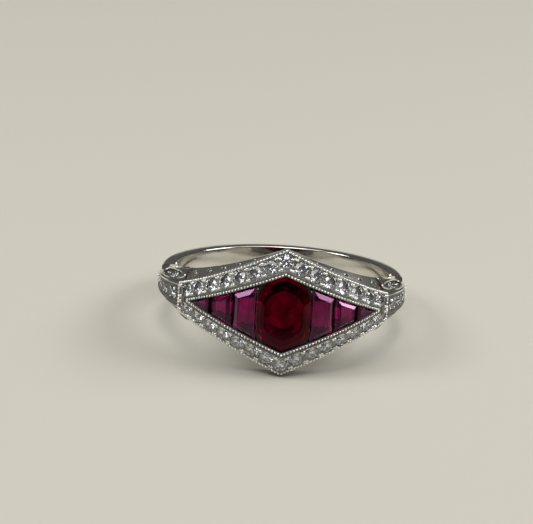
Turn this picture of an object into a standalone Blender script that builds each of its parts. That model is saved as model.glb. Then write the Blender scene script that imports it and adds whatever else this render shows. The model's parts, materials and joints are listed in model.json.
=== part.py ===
"""Cocktail ring: a lozenge of seven step-cut rubies in a diamond-set border, on a pierced gallery.

Everything is drawn in the ring's own frame, in millimetres: the finger's axis is Z, the head faces -Y
and X runs along the head. An angle is measured around the finger from the middle of the head. The
finished ring is then laid down on its side, resting on the head's lower point and the shank's edge.
"""

import math
from collections import namedtuple

import bmesh
import bpy
import numpy as np
from mathutils import Matrix, Vector

MM = 0.001

# Finger hole and shank
FINGER_RADIUS = 8.5
SHANK_RADIUS = 9.6
SHANK_HALF_WIDTH = 1.08
SHANK_EDGE_ROUND = 0.16
SHANK_STEPS = 70

# Angles around the finger at which a shoulder starts, beside the head, and ends, at the shank
SHOULDER_START = math.radians(54.3)
SHOULDER_END = math.radians(89.8)

# Head: nested outlines, each a lozenge clipped at both ends and draped on a cylinder whose radius
# runs from mid_radius at the middle to end_radius at the clip
Outline = namedtuple("Outline", "height length clip mid_radius end_radius")
STONE_EDGE = Outline(3.05, 7.30, 7.25, 10.42, 10.42)
CHANNEL_EDGE = Outline(3.29, 7.87, 7.62, 10.42, 10.42)
BORDER_INNER = Outline(3.32, 7.95, 7.65, 10.40, 10.40)
BORDER_OUTER = Outline(4.95, 10.55, 8.10, 9.60, 10.02)
WALL_INNER = Outline(4.60, 9.70, 7.93, 9.60, 10.02)
RAIL_OUTER = Outline(4.80, 12.60, 7.15, 8.85, 8.85)
RAIL_INNER = Outline(4.35, 11.40, 6.80, 8.85, 8.85)
CORNER_AT = 0.9
STATIONS_PER_QUARTER = 10

CHANNEL_DEPTH = 1.45
BORDER_INNER_DEPTH = 0.75
BORDER_OUTER_DEPTH = 0.50
RAIL_DEPTH = 0.35
PART_GAP = 0.03

# Gallery walls, pierced with round holes between the finger rail and the border
PIERCINGS_PER_SIDE = 5
FIRST_PIERCING = 0.30
LAST_PIERCING = 0.84
PIERCING_FILL = 0.62

# Shoulders
SHOULDER_STATIONS = 14
SHOULDER_START_RADIUS = 10.0
SHOULDER_END_RADIUS = 9.84
SHOULDER_FACE_START = 0.95
SHOULDER_FACE_END = 0.58
SHOULDER_FOOT_START = 2.08
SHOULDER_FOOT_END = 1.08
SHOULDER_FOOT_CURVE = 1.25
SHOULDER_FOOT_RADIUS = 8.95
GROOVE_HALF_START = 0.62
GROOVE_HALF_END = 0.38
GROOVE_DEPTH = 0.20
GROOVE_ANGLES = (math.radians(56.0), math.radians(87.5))
LEAF_ANGLE = math.radians(67.0)
LEAF_LENGTH = 3.6
LEAF_WIDTH = 0.72
LEAF_DEPTH = 0.18

# Rubies: edges of the stones along the head, measured from its middle, and their cutting
RUBY_EDGES = (2.05, 3.86, 5.54, 7.14)
RUBY_NAMES = ("inner", "middle", "tip")
RUBY_GIRDLE_RADIUS = 10.16
RUBY_CLEARANCE = 0.05
RUBY_GIRDLE = 0.08
RUBY_CROWN = 0.34
RUBY_PAVILION = 1.05
RUBY_CROWN_INSET = 0.30
RUBY_PAVILION_INSET = 0.36

# Diamonds: heights of a cut stone as fractions of its diameter
DIAMOND_TABLE = 0.56
DIAMOND_CROWN = 0.14
DIAMOND_GIRDLE = 0.03
DIAMOND_PAVILION = 0.40
DIAMOND_SIDES = 8
BORDER_STONES = 7
BORDER_STONE_LARGE = 1.17
BORDER_STONE_SMALL = 1.06
BORDER_ROW_END = 0.86
BORDER_ROW_SHARE = 0.46
SHOULDER_STONE_ANGLES = (math.radians(60.5), math.radians(69.5), math.radians(78.5))
SHOULDER_STONES = (0.96, 0.84, 0.72)
CHEEK_STONE_ANGLE = math.radians(64.8)
CHEEK_STONE = 0.66
STONE_SINK = 0.06
SEAT_CLEARANCE = 0.03
SEAT_SIDES = 12

# Resting pose: on the head's lower point and on the shank's lower edge at the back
REST_TILT = math.atan2(BORDER_OUTER.height - SHANK_HALF_WIDTH, BORDER_OUTER.mid_radius + SHANK_RADIUS)

ring_parts = None
cutters = None
ring_frame = None


# ---------------------------------------------------------------------------- scene and materials

def clear_scene():
    """Remove every object, so that the ring starts from nothing."""
    for old in list(bpy.data.objects):
        bpy.data.objects.remove(old, do_unlink=True)


def new_collection(name):
    """Make a collection in the scene."""
    collection = bpy.data.collections.new(name)
    bpy.context.scene.collection.children.link(collection)
    return collection


def make_material(name, color, roughness, metallic, transmission=0.0):
    """Principled BSDF of one colour."""
    material = bpy.data.materials.new(name)
    material.use_nodes = True
    shader = material.node_tree.nodes["Principled BSDF"]
    shader.inputs["Base Color"].default_value = (*color, 1.0)
    shader.inputs["Roughness"].default_value = roughness
    shader.inputs["Metallic"].default_value = metallic
    shader.inputs["Transmission Weight"].default_value = transmission
    return material


def add_part(name, mesh, material, place=Matrix.Identity(4)):
    """Put a mesh into the ring as a named object under the ring's frame."""
    part = bpy.data.objects.new(name, mesh)
    if material.name not in mesh.materials:
        mesh.materials.append(material)
    ring_parts.objects.link(part)
    part.parent = ring_frame
    part.matrix_local = place
    return part


def add_cutter(name, mesh, place=Matrix.Identity(4)):
    """Keep a shape that only cuts others, hidden from renders."""
    cutter = bpy.data.objects.new(name, mesh)
    cutters.objects.link(cutter)
    cutter.parent = ring_frame
    cutter.matrix_local = place
    cutter.hide_render = True
    cutter.display_type = "WIRE"
    return cutter


def cut(part, cutter):
    """Cut one shape out of a part."""
    boolean = part.modifiers.new(cutter.name, "BOOLEAN")
    boolean.operation = "DIFFERENCE"
    boolean.object = cutter


# ---------------------------------------------------------------------------- points and meshes

def around(angle, radius, z):
    """Point at an angle around the finger, in metres."""
    return Vector((radius * math.sin(angle), -radius * math.cos(angle), z)) * MM


def mesh_from(name, build):
    """Make a mesh from a bmesh recipe, with its faces turned outwards."""
    shape = bmesh.new()
    build(shape)
    bmesh.ops.recalc_face_normals(shape, faces=shape.faces)
    mesh = bpy.data.meshes.new(name)
    shape.to_mesh(mesh)
    shape.free()
    return mesh


def loft(name, sections, closed):
    """Skin sections with the same number of points in flat facets; an open loft gets end caps."""
    def build(shape):
        rings = [[shape.verts.new(point) for point in section] for section in sections]
        following = rings[1:] + rings[:1] if closed else rings[1:]
        for ring, after in zip(rings, following):
            for side in range(len(ring)):
                next_side = (side + 1) % len(ring)
                shape.faces.new((ring[side], ring[next_side], after[next_side], after[side]))
        if not closed:
            shape.faces.new(rings[0])
            shape.faces.new(rings[-1])
        bmesh.ops.triangulate(shape, faces=shape.faces)
    return mesh_from(name, build)


def frame_of(origin, across, outward):
    """Placement with X along `across`, Z along `outward` and its origin at `origin`."""
    z_axis = outward.normalized()
    y_axis = z_axis.cross(across).normalized()
    x_axis = y_axis.cross(z_axis)
    turn = Matrix((x_axis, y_axis, z_axis)).transposed()
    return Matrix.Translation(origin) @ turn.to_4x4()


# ---------------------------------------------------------------------------- outlines of the head

def outline_position(outline, fraction):
    """Distance along the head, height and radius on an outline, from the middle (0) to its tip (1)."""
    if fraction <= CORNER_AT:
        along = outline.clip * fraction / CORNER_AT
        height = outline.height * (1.0 - along / outline.length)
    else:
        along = outline.clip
        corner = outline.height * (1.0 - along / outline.length)
        height = corner * (1.0 - fraction) / (1.0 - CORNER_AT)
    radius = outline.mid_radius + (outline.end_radius - outline.mid_radius) * along / outline.clip
    return along, height, radius


def outline_point(outline, fraction, side, half, depth=0.0):
    """Point on an outline; side and half are +1 or -1 for right or left, upper or lower."""
    along, height, radius = outline_position(outline, fraction)
    return around(side * math.asin(along / radius), radius - depth, half * height)


def loop_stations():
    """Fraction, side and half of each station all the way round the head, starting at its top."""
    rising = [step / STATIONS_PER_QUARTER for step in range(STATIONS_PER_QUARTER)]
    falling = [1.0 - step / STATIONS_PER_QUARTER for step in range(STATIONS_PER_QUARTER)]
    stations = [(fraction, 1, 1) for fraction in rising]
    stations += [(fraction, 1, -1) for fraction in falling]
    stations += [(fraction, -1, -1) for fraction in rising]
    stations += [(fraction, -1, 1) for fraction in falling]
    return stations


def head_loop(name, corners):
    """Closed frame round the head, from a section whose corners are (outline, depth)."""
    sections = []
    for fraction, side, half in loop_stations():
        sections.append([outline_point(outline, fraction, side, half, depth) for outline, depth in corners])
    return loft(name, sections, closed=True)


# ---------------------------------------------------------------------------- cut stones

def turned_profile(name, points):
    """Profile of a turned shape in the XZ plane, from the top of its axis to the bottom."""
    mesh = bpy.data.meshes.new(name)
    edges = [(index, index + 1) for index in range(len(points) - 1)]
    mesh.from_pydata([(x, 0.0, z) for x, z in points], edges, [])
    return mesh


def screw(turned, steps):
    """Turn a profile about its own Z axis."""
    modifier = turned.modifiers.new("turn", "SCREW")
    modifier.steps = steps
    modifier.render_steps = steps
    modifier.use_merge_vertices = True
    modifier.merge_threshold = 0.00001


def diamond_profile():
    """Profile of a single-cut diamond with a diameter of 1 mm, its girdle at z = 0."""
    girdle_top = 0.5 * DIAMOND_GIRDLE
    points = [
        (0.0, girdle_top + DIAMOND_CROWN),
        (0.5 * DIAMOND_TABLE, girdle_top + DIAMOND_CROWN),
        (0.5, girdle_top),
        (0.5, -girdle_top),
        (0.0, -girdle_top - DIAMOND_PAVILION),
    ]
    return turned_profile("diamond_profile", [(x * MM, z * MM) for x, z in points])


def seat_profile():
    """Profile of the drilled seat for a 1 mm diamond, open above the metal."""
    open_top = 0.6
    rim = 0.5 + SEAT_CLEARANCE
    shelf = -0.5 * DIAMOND_GIRDLE - SEAT_CLEARANCE
    tip = shelf - DIAMOND_PAVILION * rim / 0.5
    points = [(0.0, open_top), (rim, open_top), (rim, shelf), (0.0, tip)]
    return turned_profile("seat_profile", [(x * MM, z * MM) for x, z in points])


def set_diamond(name, metal, diameter, place, profiles, material):
    """Drill a seat into the metal and set a diamond in it, its girdle just under the surface."""
    sunk = place @ Matrix.Translation((0.0, 0.0, -STONE_SINK * MM)) @ Matrix.Scale(diameter, 4)
    stone = add_part(name, profiles["diamond"], material, sunk)
    screw(stone, DIAMOND_SIDES)
    seat = add_cutter(name + "_seat", profiles["seat"], sunk)
    screw(seat, SEAT_SIDES)
    cut(metal, seat)


def inset(polygon, distance):
    """Convex polygon with every side moved inwards by a distance."""
    count = len(polygon)
    lines = []
    for index in range(count):
        start, end = polygon[index], polygon[(index + 1) % count]
        inward = Vector((start.y - end.y, end.x - start.x)).normalized()
        lines.append((inward, inward.dot(start) + distance))
    corners = []
    for index in range(count):
        (n1, c1), (n2, c2) = lines[index - 1], lines[index]
        determinant = n1.x * n2.y - n1.y * n2.x
        x = (c1 * n2.y - c2 * n1.y) / determinant
        y = (n1.x * c2 - n2.x * c1) / determinant
        corners.append(Vector((x, y)))
    return corners


def inner_reach(outline):
    """How far a convex outline's sides can move inwards before the smallest stone closes up."""
    sides = list(zip(outline, outline[1:] + outline[:1]))
    area = 0.5 * sum(start.x * end.y - end.x * start.y for start, end in sides)
    perimeter = sum((end - start).length for start, end in sides)
    return 1.2 * area / perimeter


def step_cut(name, outline):
    """Step-cut stone: a bevelled crown with a flat table, a girdle and a stepped pavilion."""
    reach = inner_reach(outline)
    crown_inset = min(RUBY_CROWN_INSET, reach)
    pavilion_inset = min(RUBY_PAVILION_INSET, reach)
    levels = [
        (crown_inset, RUBY_CROWN),
        (0.0, 0.0),
        (0.0, -RUBY_GIRDLE),
        (0.5 * pavilion_inset, -0.5 * RUBY_PAVILION),
        (pavilion_inset, -RUBY_PAVILION),
    ]
    sections = []
    for distance, height in levels:
        ring = inset(outline, distance)
        sections.append([Vector((corner.x, corner.y, height)) * MM for corner in ring])
    return loft(name, sections, closed=False)


# ---------------------------------------------------------------------------- metal

def build_shank(platinum):
    """Plain band round the back: a turned ring with its front half cut away."""
    outer, inner, half = SHANK_RADIUS, FINGER_RADIUS, SHANK_HALF_WIDTH
    points = []
    for center_z, first in ((half - SHANK_EDGE_ROUND, 90.0), (SHANK_EDGE_ROUND - half, 0.0)):
        for degrees in (first, first - 45.0, first - 90.0):
            turn = math.radians(degrees)
            radius = outer - SHANK_EDGE_ROUND + SHANK_EDGE_ROUND * math.cos(turn)
            points.append((radius * MM, (center_z + SHANK_EDGE_ROUND * math.sin(turn)) * MM))
    points += [(inner * MM, -half * MM), (inner * MM, half * MM), points[0]]
    mesh = turned_profile("shank", points)
    shank = add_part("shank", mesh, platinum)
    screw(shank, SHANK_STEPS)

    def build(shape):
        bmesh.ops.create_cube(shape, size=4.0 * SHANK_RADIUS * MM)
    end_gap = SHANK_RADIUS * math.sin(math.radians(0.2))
    half_away = Matrix.Translation((0.0, (end_gap - 2.0 * SHANK_RADIUS) * MM, 0.0))
    cut(shank, add_cutter("front_half", mesh_from("front_half", build), half_away))


def shoulder_blend(angle):
    """1 at the head end of a shoulder, 0 where it meets the shank."""
    return (SHOULDER_END - angle) / (SHOULDER_END - SHOULDER_START)


def shoulder_sizes(angle):
    """Face radius, half width of the outer face and half width at the finger side."""
    blend = shoulder_blend(angle)
    radius = SHOULDER_END_RADIUS + (SHOULDER_START_RADIUS - SHOULDER_END_RADIUS) * blend
    face = SHOULDER_FACE_END + (SHOULDER_FACE_START - SHOULDER_FACE_END) * blend
    growth = max(blend, 0.0) ** SHOULDER_FOOT_CURVE
    foot = SHOULDER_FOOT_END + (SHOULDER_FOOT_START - SHOULDER_FOOT_END) * growth
    return radius, face, foot


def shoulder_section(side, angle):
    """Six-sided section: upright edge at the finger, sloped cheeks and a narrow outer face."""
    radius, face, foot = shoulder_sizes(angle)
    upper = [(FINGER_RADIUS, foot), (SHOULDER_FOOT_RADIUS, foot), (radius, face)]
    lower = [(r, -z) for r, z in reversed(upper)]
    return [around(side * angle, r, z) for r, z in upper + lower]


def groove_cutter(side):
    """Shallow channel along the outer face, between the shoulder's two rails."""
    sections = []
    for angle in np.linspace(*GROOVE_ANGLES, SHOULDER_STATIONS):
        radius, _, _ = shoulder_sizes(angle)
        floor, top = radius - GROOVE_DEPTH, radius + GROOVE_DEPTH
        half = GROOVE_HALF_END + (GROOVE_HALF_START - GROOVE_HALF_END) * shoulder_blend(angle)
        corners = [(floor, half), (top, half)]
        corners += [(r, -z) for r, z in reversed(corners)]
        sections.append([around(side * angle, r, z) for r, z in corners])
    return loft("groove", sections, closed=False)


def cheek_place(side, half, angle):
    """Placement on the middle of a sloped cheek, X along the shoulder and Z out of the cheek."""
    radius, face, foot = shoulder_sizes(angle)
    outer = around(side * angle, radius, half * face)
    inner = around(side * angle, SHOULDER_FOOT_RADIUS, half * foot)
    along = Vector((math.cos(angle), side * math.sin(angle), 0.0))
    outward = along.cross(outer - inner)
    if outward.z * half < 0.0:
        outward = -outward
    return frame_of((outer + inner) / 2, along, outward)


def leaf_cutter():
    """Pointed leaf, the shape of the recess in each cheek."""
    steps = 8
    edge = [(math.cos(math.pi * k / steps), math.sin(math.pi * k / steps) ** 1.3) for k in range(steps + 1)]
    rim = edge + [(x, -y) for x, y in reversed(edge[1:-1])]
    half_length, half_width = 0.5 * LEAF_LENGTH, 0.5 * LEAF_WIDTH
    levels = (-LEAF_DEPTH, 1.0)
    sections = [[Vector((x * half_length, y * half_width, z)) * MM for x, y in rim] for z in levels]
    return loft("leaf", sections, closed=False)


def build_shoulder(name, side, profiles, platinum, diamond):
    """One shoulder with its grooved face, leaf recesses and five diamonds."""
    angles = np.linspace(SHOULDER_START, SHOULDER_END, SHOULDER_STATIONS)
    sections = [shoulder_section(side, angle) for angle in angles]
    shoulder = add_part("shoulder_" + name, loft("shoulder", sections, closed=False), platinum)
    cut(shoulder, add_cutter("groove_" + name, groove_cutter(side)))
    for half_name, half in (("upper", 1), ("lower", -1)):
        leaf_name = "leaf_{}_{}".format(name, half_name)
        cut(shoulder, add_cutter(leaf_name, leaf_cutter(), cheek_place(side, half, LEAF_ANGLE)))
        sunk = Matrix.Translation((0.0, 0.0, -0.6 * LEAF_DEPTH * MM))
        in_leaf = cheek_place(side, half, CHEEK_STONE_ANGLE) @ sunk
        stone_name = "cheek_diamond_{}_{}".format(name, half_name)
        set_diamond(stone_name, shoulder, CHEEK_STONE, in_leaf, profiles, diamond)
    for index, (angle, diameter) in enumerate(zip(SHOULDER_STONE_ANGLES, SHOULDER_STONES), start=1):
        radius, _, _ = shoulder_sizes(angle)
        outward = around(side * angle, 1.0, 0.0)
        floor = around(side * angle, radius - 0.6 * GROOVE_DEPTH, 0.0)
        place = frame_of(floor, Vector((0.0, 0.0, 1.0)), outward)
        stone_name = "shoulder_diamond_{}_{}".format(name, index)
        set_diamond(stone_name, shoulder, diameter, place, profiles, diamond)


def row_place(fraction, side, half):
    """Placement on the border's row of stones, X across it and Z out of its face."""
    inner = outline_point(BORDER_INNER, fraction, side, half)
    outer = outline_point(BORDER_OUTER, fraction, side, half)
    step = 0.02
    before = outline_point(BORDER_INNER, fraction - step, side, half)
    before += outline_point(BORDER_OUTER, fraction - step, side, half)
    after = outline_point(BORDER_INNER, fraction + step, side, half)
    after += outline_point(BORDER_OUTER, fraction + step, side, half)
    if fraction < step:
        before = Vector((-after.x, after.y, after.z))
    outward = (outer - inner).cross(after - before)
    middle = inner.lerp(outer, BORDER_ROW_SHARE)
    if outward.dot(Vector((middle.x, middle.y, 0.0))) < 0.0:
        outward = -outward
    return frame_of(middle, outer - inner, outward)


def row_fractions():
    """Evenly spaced places for the border diamonds of one quarter, the first at the point."""
    samples = np.linspace(0.0, BORDER_ROW_END, 200)
    middles = [row_place(sample, 1, 1).translation for sample in samples]
    steps = [(after - before).length for before, after in zip(middles, middles[1:])]
    travelled = np.concatenate(([0.0], np.cumsum(steps)))
    wanted = np.linspace(0.0, travelled[-1], BORDER_STONES + 1)
    return np.interp(wanted, travelled, samples)


def build_border(profiles, platinum, diamond):
    """Sloping plate round the rubies, drilled for its diamonds, and the diamonds themselves."""
    corners = [
        (BORDER_INNER, 0.0),
        (BORDER_OUTER, 0.0),
        (BORDER_OUTER, BORDER_OUTER_DEPTH),
        (BORDER_INNER, BORDER_INNER_DEPTH),
    ]
    plate = add_part("border_plate", head_loop("border_plate", corners), platinum)
    fractions = row_fractions()
    sizes = np.linspace(BORDER_STONE_LARGE, BORDER_STONE_SMALL, BORDER_STONES + 1)
    for half_name, half in (("upper", 1), ("lower", -1)):
        set_diamond("border_diamond_{}_point".format(half_name), plate, sizes[0],
                    row_place(0.0, 1, half), profiles, diamond)
        for side_name, side in (("left", -1), ("right", 1)):
            for index in range(1, BORDER_STONES + 1):
                name = "border_diamond_{}_{}_{}".format(half_name, side_name, index)
                place = row_place(fractions[index], side, half)
                set_diamond(name, plate, sizes[index], place, profiles, diamond)


def build_gallery(half_name, half, platinum):
    """Pierced wall between the finger rail and the border, on one side of the head."""
    last = CORNER_AT * 0.98
    sections = []
    for position in np.linspace(-last, last, 2 * STATIONS_PER_QUARTER + 1):
        side = 1 if position >= 0.0 else -1
        fraction = abs(position)
        top_depth = BORDER_OUTER_DEPTH + PART_GAP
        foot_radius = RAIL_OUTER.mid_radius + PART_GAP
        section = []
        for top_outline, foot_outline in ((BORDER_OUTER, RAIL_OUTER), (WALL_INNER, RAIL_INNER)):
            foot = outline_point(foot_outline, fraction, side, half, RAIL_OUTER.mid_radius - foot_radius)
            top = outline_point(top_outline, fraction, side, half, top_depth)
            section += [foot, top] if top_outline is BORDER_OUTER else [top, foot]
        sections.append(section)
    name = "gallery_" + half_name
    wall = add_part(name, loft(name, sections, closed=False), platinum)
    for index, fraction in enumerate(np.linspace(FIRST_PIERCING, LAST_PIERCING, PIERCINGS_PER_SIDE)):
        for side_name, side in (("left", -1), ("right", 1)):
            foot = outline_point(RAIL_OUTER, fraction, side, half)
            top = outline_point(BORDER_OUTER, fraction, side, half, BORDER_OUTER_DEPTH)
            room = top.xy.length - foot.xy.length
            width = 0.5 * PIERCING_FILL * (room - 2.0 * PART_GAP * MM)

            def build(shape, width=width):
                bmesh.ops.create_cone(shape, cap_ends=True, segments=SEAT_SIDES, radius1=width,
                                      radius2=width, depth=3.0 * MM)
            cutter_name = "piercing_{}_{}_{}".format(half_name, side_name, index)
            place = frame_of((foot + top) / 2, Vector((1, 0, 0)), Vector((0, 0, half)))
            cut(wall, add_cutter(cutter_name, mesh_from("piercing", build), place))


def build_head_metal(platinum):
    """Ruby channel, finger rail and the two gallery walls."""
    channel = [(STONE_EDGE, 0.0), (CHANNEL_EDGE, 0.0)]
    channel += [(outline, CHANNEL_DEPTH) for outline, _ in reversed(channel)]
    add_part("ruby_channel", head_loop("ruby_channel", channel), platinum)
    rail = [(RAIL_INNER, 0.0), (RAIL_OUTER, 0.0)]
    rail += [(outline, RAIL_DEPTH) for outline, _ in reversed(rail)]
    add_part("finger_rail", head_loop("finger_rail", rail), platinum)
    build_gallery("upper", 1, platinum)
    build_gallery("lower", -1, platinum)


# ---------------------------------------------------------------------------- rubies

def lozenge_height(along):
    """Half height that a ruby has at a distance along the head."""
    return STONE_EDGE.height * (1.0 - abs(along) / STONE_EDGE.length) - 1.1 * RUBY_CLEARANCE


def ruby_outline(near, far, center):
    """Trapezoid or triangle between two distances along the head, in the stone's own flat frame."""
    center_angle = math.asin(center / RUBY_GIRDLE_RADIUS)

    def flat(along):
        return RUBY_GIRDLE_RADIUS * math.tan(math.asin(along / RUBY_GIRDLE_RADIUS) - center_angle)
    left, right = flat(near) + 0.5 * RUBY_CLEARANCE, flat(far) - 0.5 * RUBY_CLEARANCE
    near_height = lozenge_height(near + 0.5 * RUBY_CLEARANCE)
    far_height = lozenge_height(far)
    if far == RUBY_EDGES[-1]:
        return [Vector((left, -near_height)), Vector((right, 0.0)), Vector((left, near_height))]
    return [
        Vector((left, -near_height)),
        Vector((right, -far_height)),
        Vector((right, far_height)),
        Vector((left, near_height)),
    ]


def center_outline():
    """Six-sided outline of the middle ruby, with points up and down."""
    half_width = RUBY_EDGES[0] - 0.5 * RUBY_CLEARANCE
    shoulder = lozenge_height(half_width)
    point = lozenge_height(0.0)
    return [
        Vector((-half_width, -shoulder)),
        Vector((0.0, -point)),
        Vector((half_width, -shoulder)),
        Vector((half_width, shoulder)),
        Vector((0.0, point)),
        Vector((-half_width, shoulder)),
    ]


def ruby_place(angle):
    """Placement of a ruby: X around the finger, Y along it and Z out of the head."""
    onward = around(angle + 0.5 * math.pi, 1.0, 0.0)
    return frame_of(around(angle, RUBY_GIRDLE_RADIUS, 0.0), onward, around(angle, 1.0, 0.0))


def build_rubies(deep_ruby, pink_ruby):
    """Middle stone and three matched stones on either side of it."""
    add_part("ruby_center", step_cut("ruby_center", center_outline()), deep_ruby, ruby_place(0.0))
    for name, near, far in zip(RUBY_NAMES, RUBY_EDGES, RUBY_EDGES[1:]):
        center = 0.5 * (near + far)
        right_outline = ruby_outline(near, far, center)
        left_outline = [Vector((-corner.x, corner.y)) for corner in reversed(right_outline)]
        angle = math.asin(center / RUBY_GIRDLE_RADIUS)
        for side_name, outline, place in (
            ("left", left_outline, ruby_place(-angle)),
            ("right", right_outline, ruby_place(angle)),
        ):
            stone_name = "ruby_{}_{}".format(side_name, name)
            add_part(stone_name, step_cut(stone_name, outline), pink_ruby, place)


# ---------------------------------------------------------------------------- assembly

def lay_down():
    """Tilt the ring onto its side and set it on the floor, centred over the origin."""
    ring_frame.rotation_euler = (-REST_TILT, 0.0, 0.0)
    bpy.context.view_layer.update()
    graph = bpy.context.evaluated_depsgraph_get()
    corners = []
    for part in ring_parts.objects:
        shape = part.evaluated_get(graph)
        corners += [shape.matrix_world @ vertex.co for vertex in shape.data.vertices]
    low = Vector([min(corner[axis] for corner in corners) for axis in range(3)])
    high = Vector([max(corner[axis] for corner in corners) for axis in range(3)])
    ring_frame.location = (-0.5 * (low.x + high.x), -0.5 * (low.y + high.y), -low.z)
    bpy.context.view_layer.update()


def main():
    """Build the whole ring."""
    global ring_parts, cutters, ring_frame
    clear_scene()
    ring_parts = new_collection("cocktail_ring")
    cutters = new_collection("cutters")
    ring_frame = bpy.data.objects.new("ring_frame", None)
    bpy.context.scene.collection.objects.link(ring_frame)

    platinum = make_material("platinum", (0.74, 0.73, 0.70), 0.18, 1.0)
    deep_ruby = make_material("deep_ruby", (0.20, 0.0, 0.01), 0.03, 0.0, 0.5)
    pink_ruby = make_material("pink_ruby", (0.33, 0.0, 0.09), 0.03, 0.0, 0.5)
    diamond = make_material("diamond", (0.92, 0.94, 0.97), 0.02, 0.0, 0.8)

    profiles = {"diamond": diamond_profile(), "seat": seat_profile()}
    build_shank(platinum)
    build_shoulder("left", -1, profiles, platinum, diamond)
    build_shoulder("right", 1, profiles, platinum, diamond)
    build_head_metal(platinum)
    build_border(profiles, platinum, diamond)
    build_rubies(deep_ruby, pink_ruby)
    lay_down()


main()
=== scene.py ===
"""Looks of the cocktail ring: seven rubies in a diamond-set lozenge border on a white metal ring.

The ring's own frame has the finger's axis as Z, the head towards -Y and X along the head. Shapes are
drawn there in millimetres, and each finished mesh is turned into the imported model's frame.
"""

import json
import logging
import math
from dataclasses import dataclass
from enum import Enum
from typing import Callable, Optional, Sequence, Union

import bmesh
import bpy
import numpy as np
from mathutils import Matrix, Vector


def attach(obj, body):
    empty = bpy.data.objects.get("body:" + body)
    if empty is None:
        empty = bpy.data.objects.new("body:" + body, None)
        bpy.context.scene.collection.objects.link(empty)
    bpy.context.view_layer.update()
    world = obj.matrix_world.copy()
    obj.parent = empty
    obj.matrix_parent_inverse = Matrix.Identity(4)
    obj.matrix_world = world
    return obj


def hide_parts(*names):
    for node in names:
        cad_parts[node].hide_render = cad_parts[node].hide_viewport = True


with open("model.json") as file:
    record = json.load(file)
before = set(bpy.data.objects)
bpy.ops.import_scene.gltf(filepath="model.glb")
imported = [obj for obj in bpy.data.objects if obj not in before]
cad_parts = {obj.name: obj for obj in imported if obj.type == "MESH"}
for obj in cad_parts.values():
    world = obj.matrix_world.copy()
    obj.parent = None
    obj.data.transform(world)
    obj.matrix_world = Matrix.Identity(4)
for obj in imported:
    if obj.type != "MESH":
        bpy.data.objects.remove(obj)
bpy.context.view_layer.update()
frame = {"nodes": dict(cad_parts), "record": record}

MM = 0.001
BODY = "root"
SIDES = {"left": -1, "right": 1}
HALVES = {"upper": 1, "lower": -1}
# Middle of the band's thickness, in millimetres.
BAND_RADIUS = 9.0
# Points nearer to each other than this are merged after a cut, in millimetres.
WELD = 0.0004
# Strength of the painted shade and grime on the metal beside the milgrain, and of the light painted shade on
# the clean inside of the head.
BESIDE_BEADS = 0.9
INSIDE_HEAD = 0.2
Path = Sequence[Vector]
log = logging.getLogger("cocktail_ring")


class Finish(Enum):
    """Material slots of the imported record."""

    PLATINUM = "platinum"
    DEEP_RUBY = "deep_ruby"
    PINK_RUBY = "pink_ruby"
    DIAMOND = "diamond"


# ---------------- node graphs


class Term:
    """A socket in a node tree that adds a Math node wherever it is used in an expression."""

    def __init__(self, graph: "Graph", socket: bpy.types.NodeSocket) -> None:
        """Wrap an output socket of a graph."""
        self.graph = graph
        self.socket = socket

    def math(self, operation: str, *others: "Operand") -> "Term":
        """Apply a Math operation with this term as its first value."""
        return self.graph.math(operation, self, *others)

    def __add__(self, other: "Operand") -> "Term":
        """Sum."""
        return self.graph.math("ADD", self, other)

    __radd__ = __add__

    def __sub__(self, other: "Operand") -> "Term":
        """Difference."""
        return self.graph.math("SUBTRACT", self, other)

    def __rsub__(self, other: "Operand") -> "Term":
        """Reflected difference."""
        return self.graph.math("SUBTRACT", other, self)

    def __mul__(self, other: "Operand") -> "Term":
        """Product."""
        return self.graph.math("MULTIPLY", self, other)

    __rmul__ = __mul__

    def __pow__(self, other: "Operand") -> "Term":
        """Power."""
        return self.graph.math("POWER", self, other)

    def __rpow__(self, other: "Operand") -> "Term":
        """Reflected power."""
        return self.graph.math("POWER", other, self)


Operand = Union[Term, float]
SocketValue = Union[Term, bpy.types.NodeSocket, float, tuple]


class Graph:
    """Adds nodes to a shader or geometry tree."""

    def __init__(self, tree: bpy.types.NodeTree) -> None:
        """Work on a node tree."""
        self.tree = tree

    def node(
        self,
        kind: str,
        settings: Optional[dict] = None,
        values: Optional[dict] = None,
    ) -> bpy.types.Node:
        """Add a node.

        Args:
            kind: the node's type.
            settings: attributes to set first.
            values: socket names or indices, with a number, a colour, a term or a socket to link.

        Returns:
            The new node.
        """
        node = self.tree.nodes.new(kind)
        for name, value in (settings or {}).items():
            setattr(node, name, value)
        for name, value in (values or {}).items():
            self.feed(node.inputs[name], value)
        return node

    def feed(self, target: bpy.types.NodeSocket, value: SocketValue) -> None:
        """Link a socket to a term or an output, or set its value.

        Args:
            target: the input socket.
            value: what it gets.
        """
        source = value.socket if isinstance(value, Term) else value
        if isinstance(source, bpy.types.NodeSocket):
            self.tree.links.new(source, target)
        else:
            target.default_value = source

    def term(self, node: bpy.types.Node, output: Union[str, int] = 0) -> Term:
        """Wrap a node's output for use in expressions."""
        return Term(self, node.outputs[output])

    def math(self, operation: str, *values: Operand) -> Term:
        """Add a Math node on numbers and terms."""
        inputs = dict(enumerate(values))
        return self.term(self.node("ShaderNodeMath", {"operation": operation}, inputs))

    def mix(self, factor: SocketValue, low: SocketValue, high: SocketValue) -> Term:
        """Mix two colours by a factor."""
        node = self.node("ShaderNodeMix", {"data_type": "RGBA"}, {0: factor, 6: low, 7: high})
        return self.term(node, 2)


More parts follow.
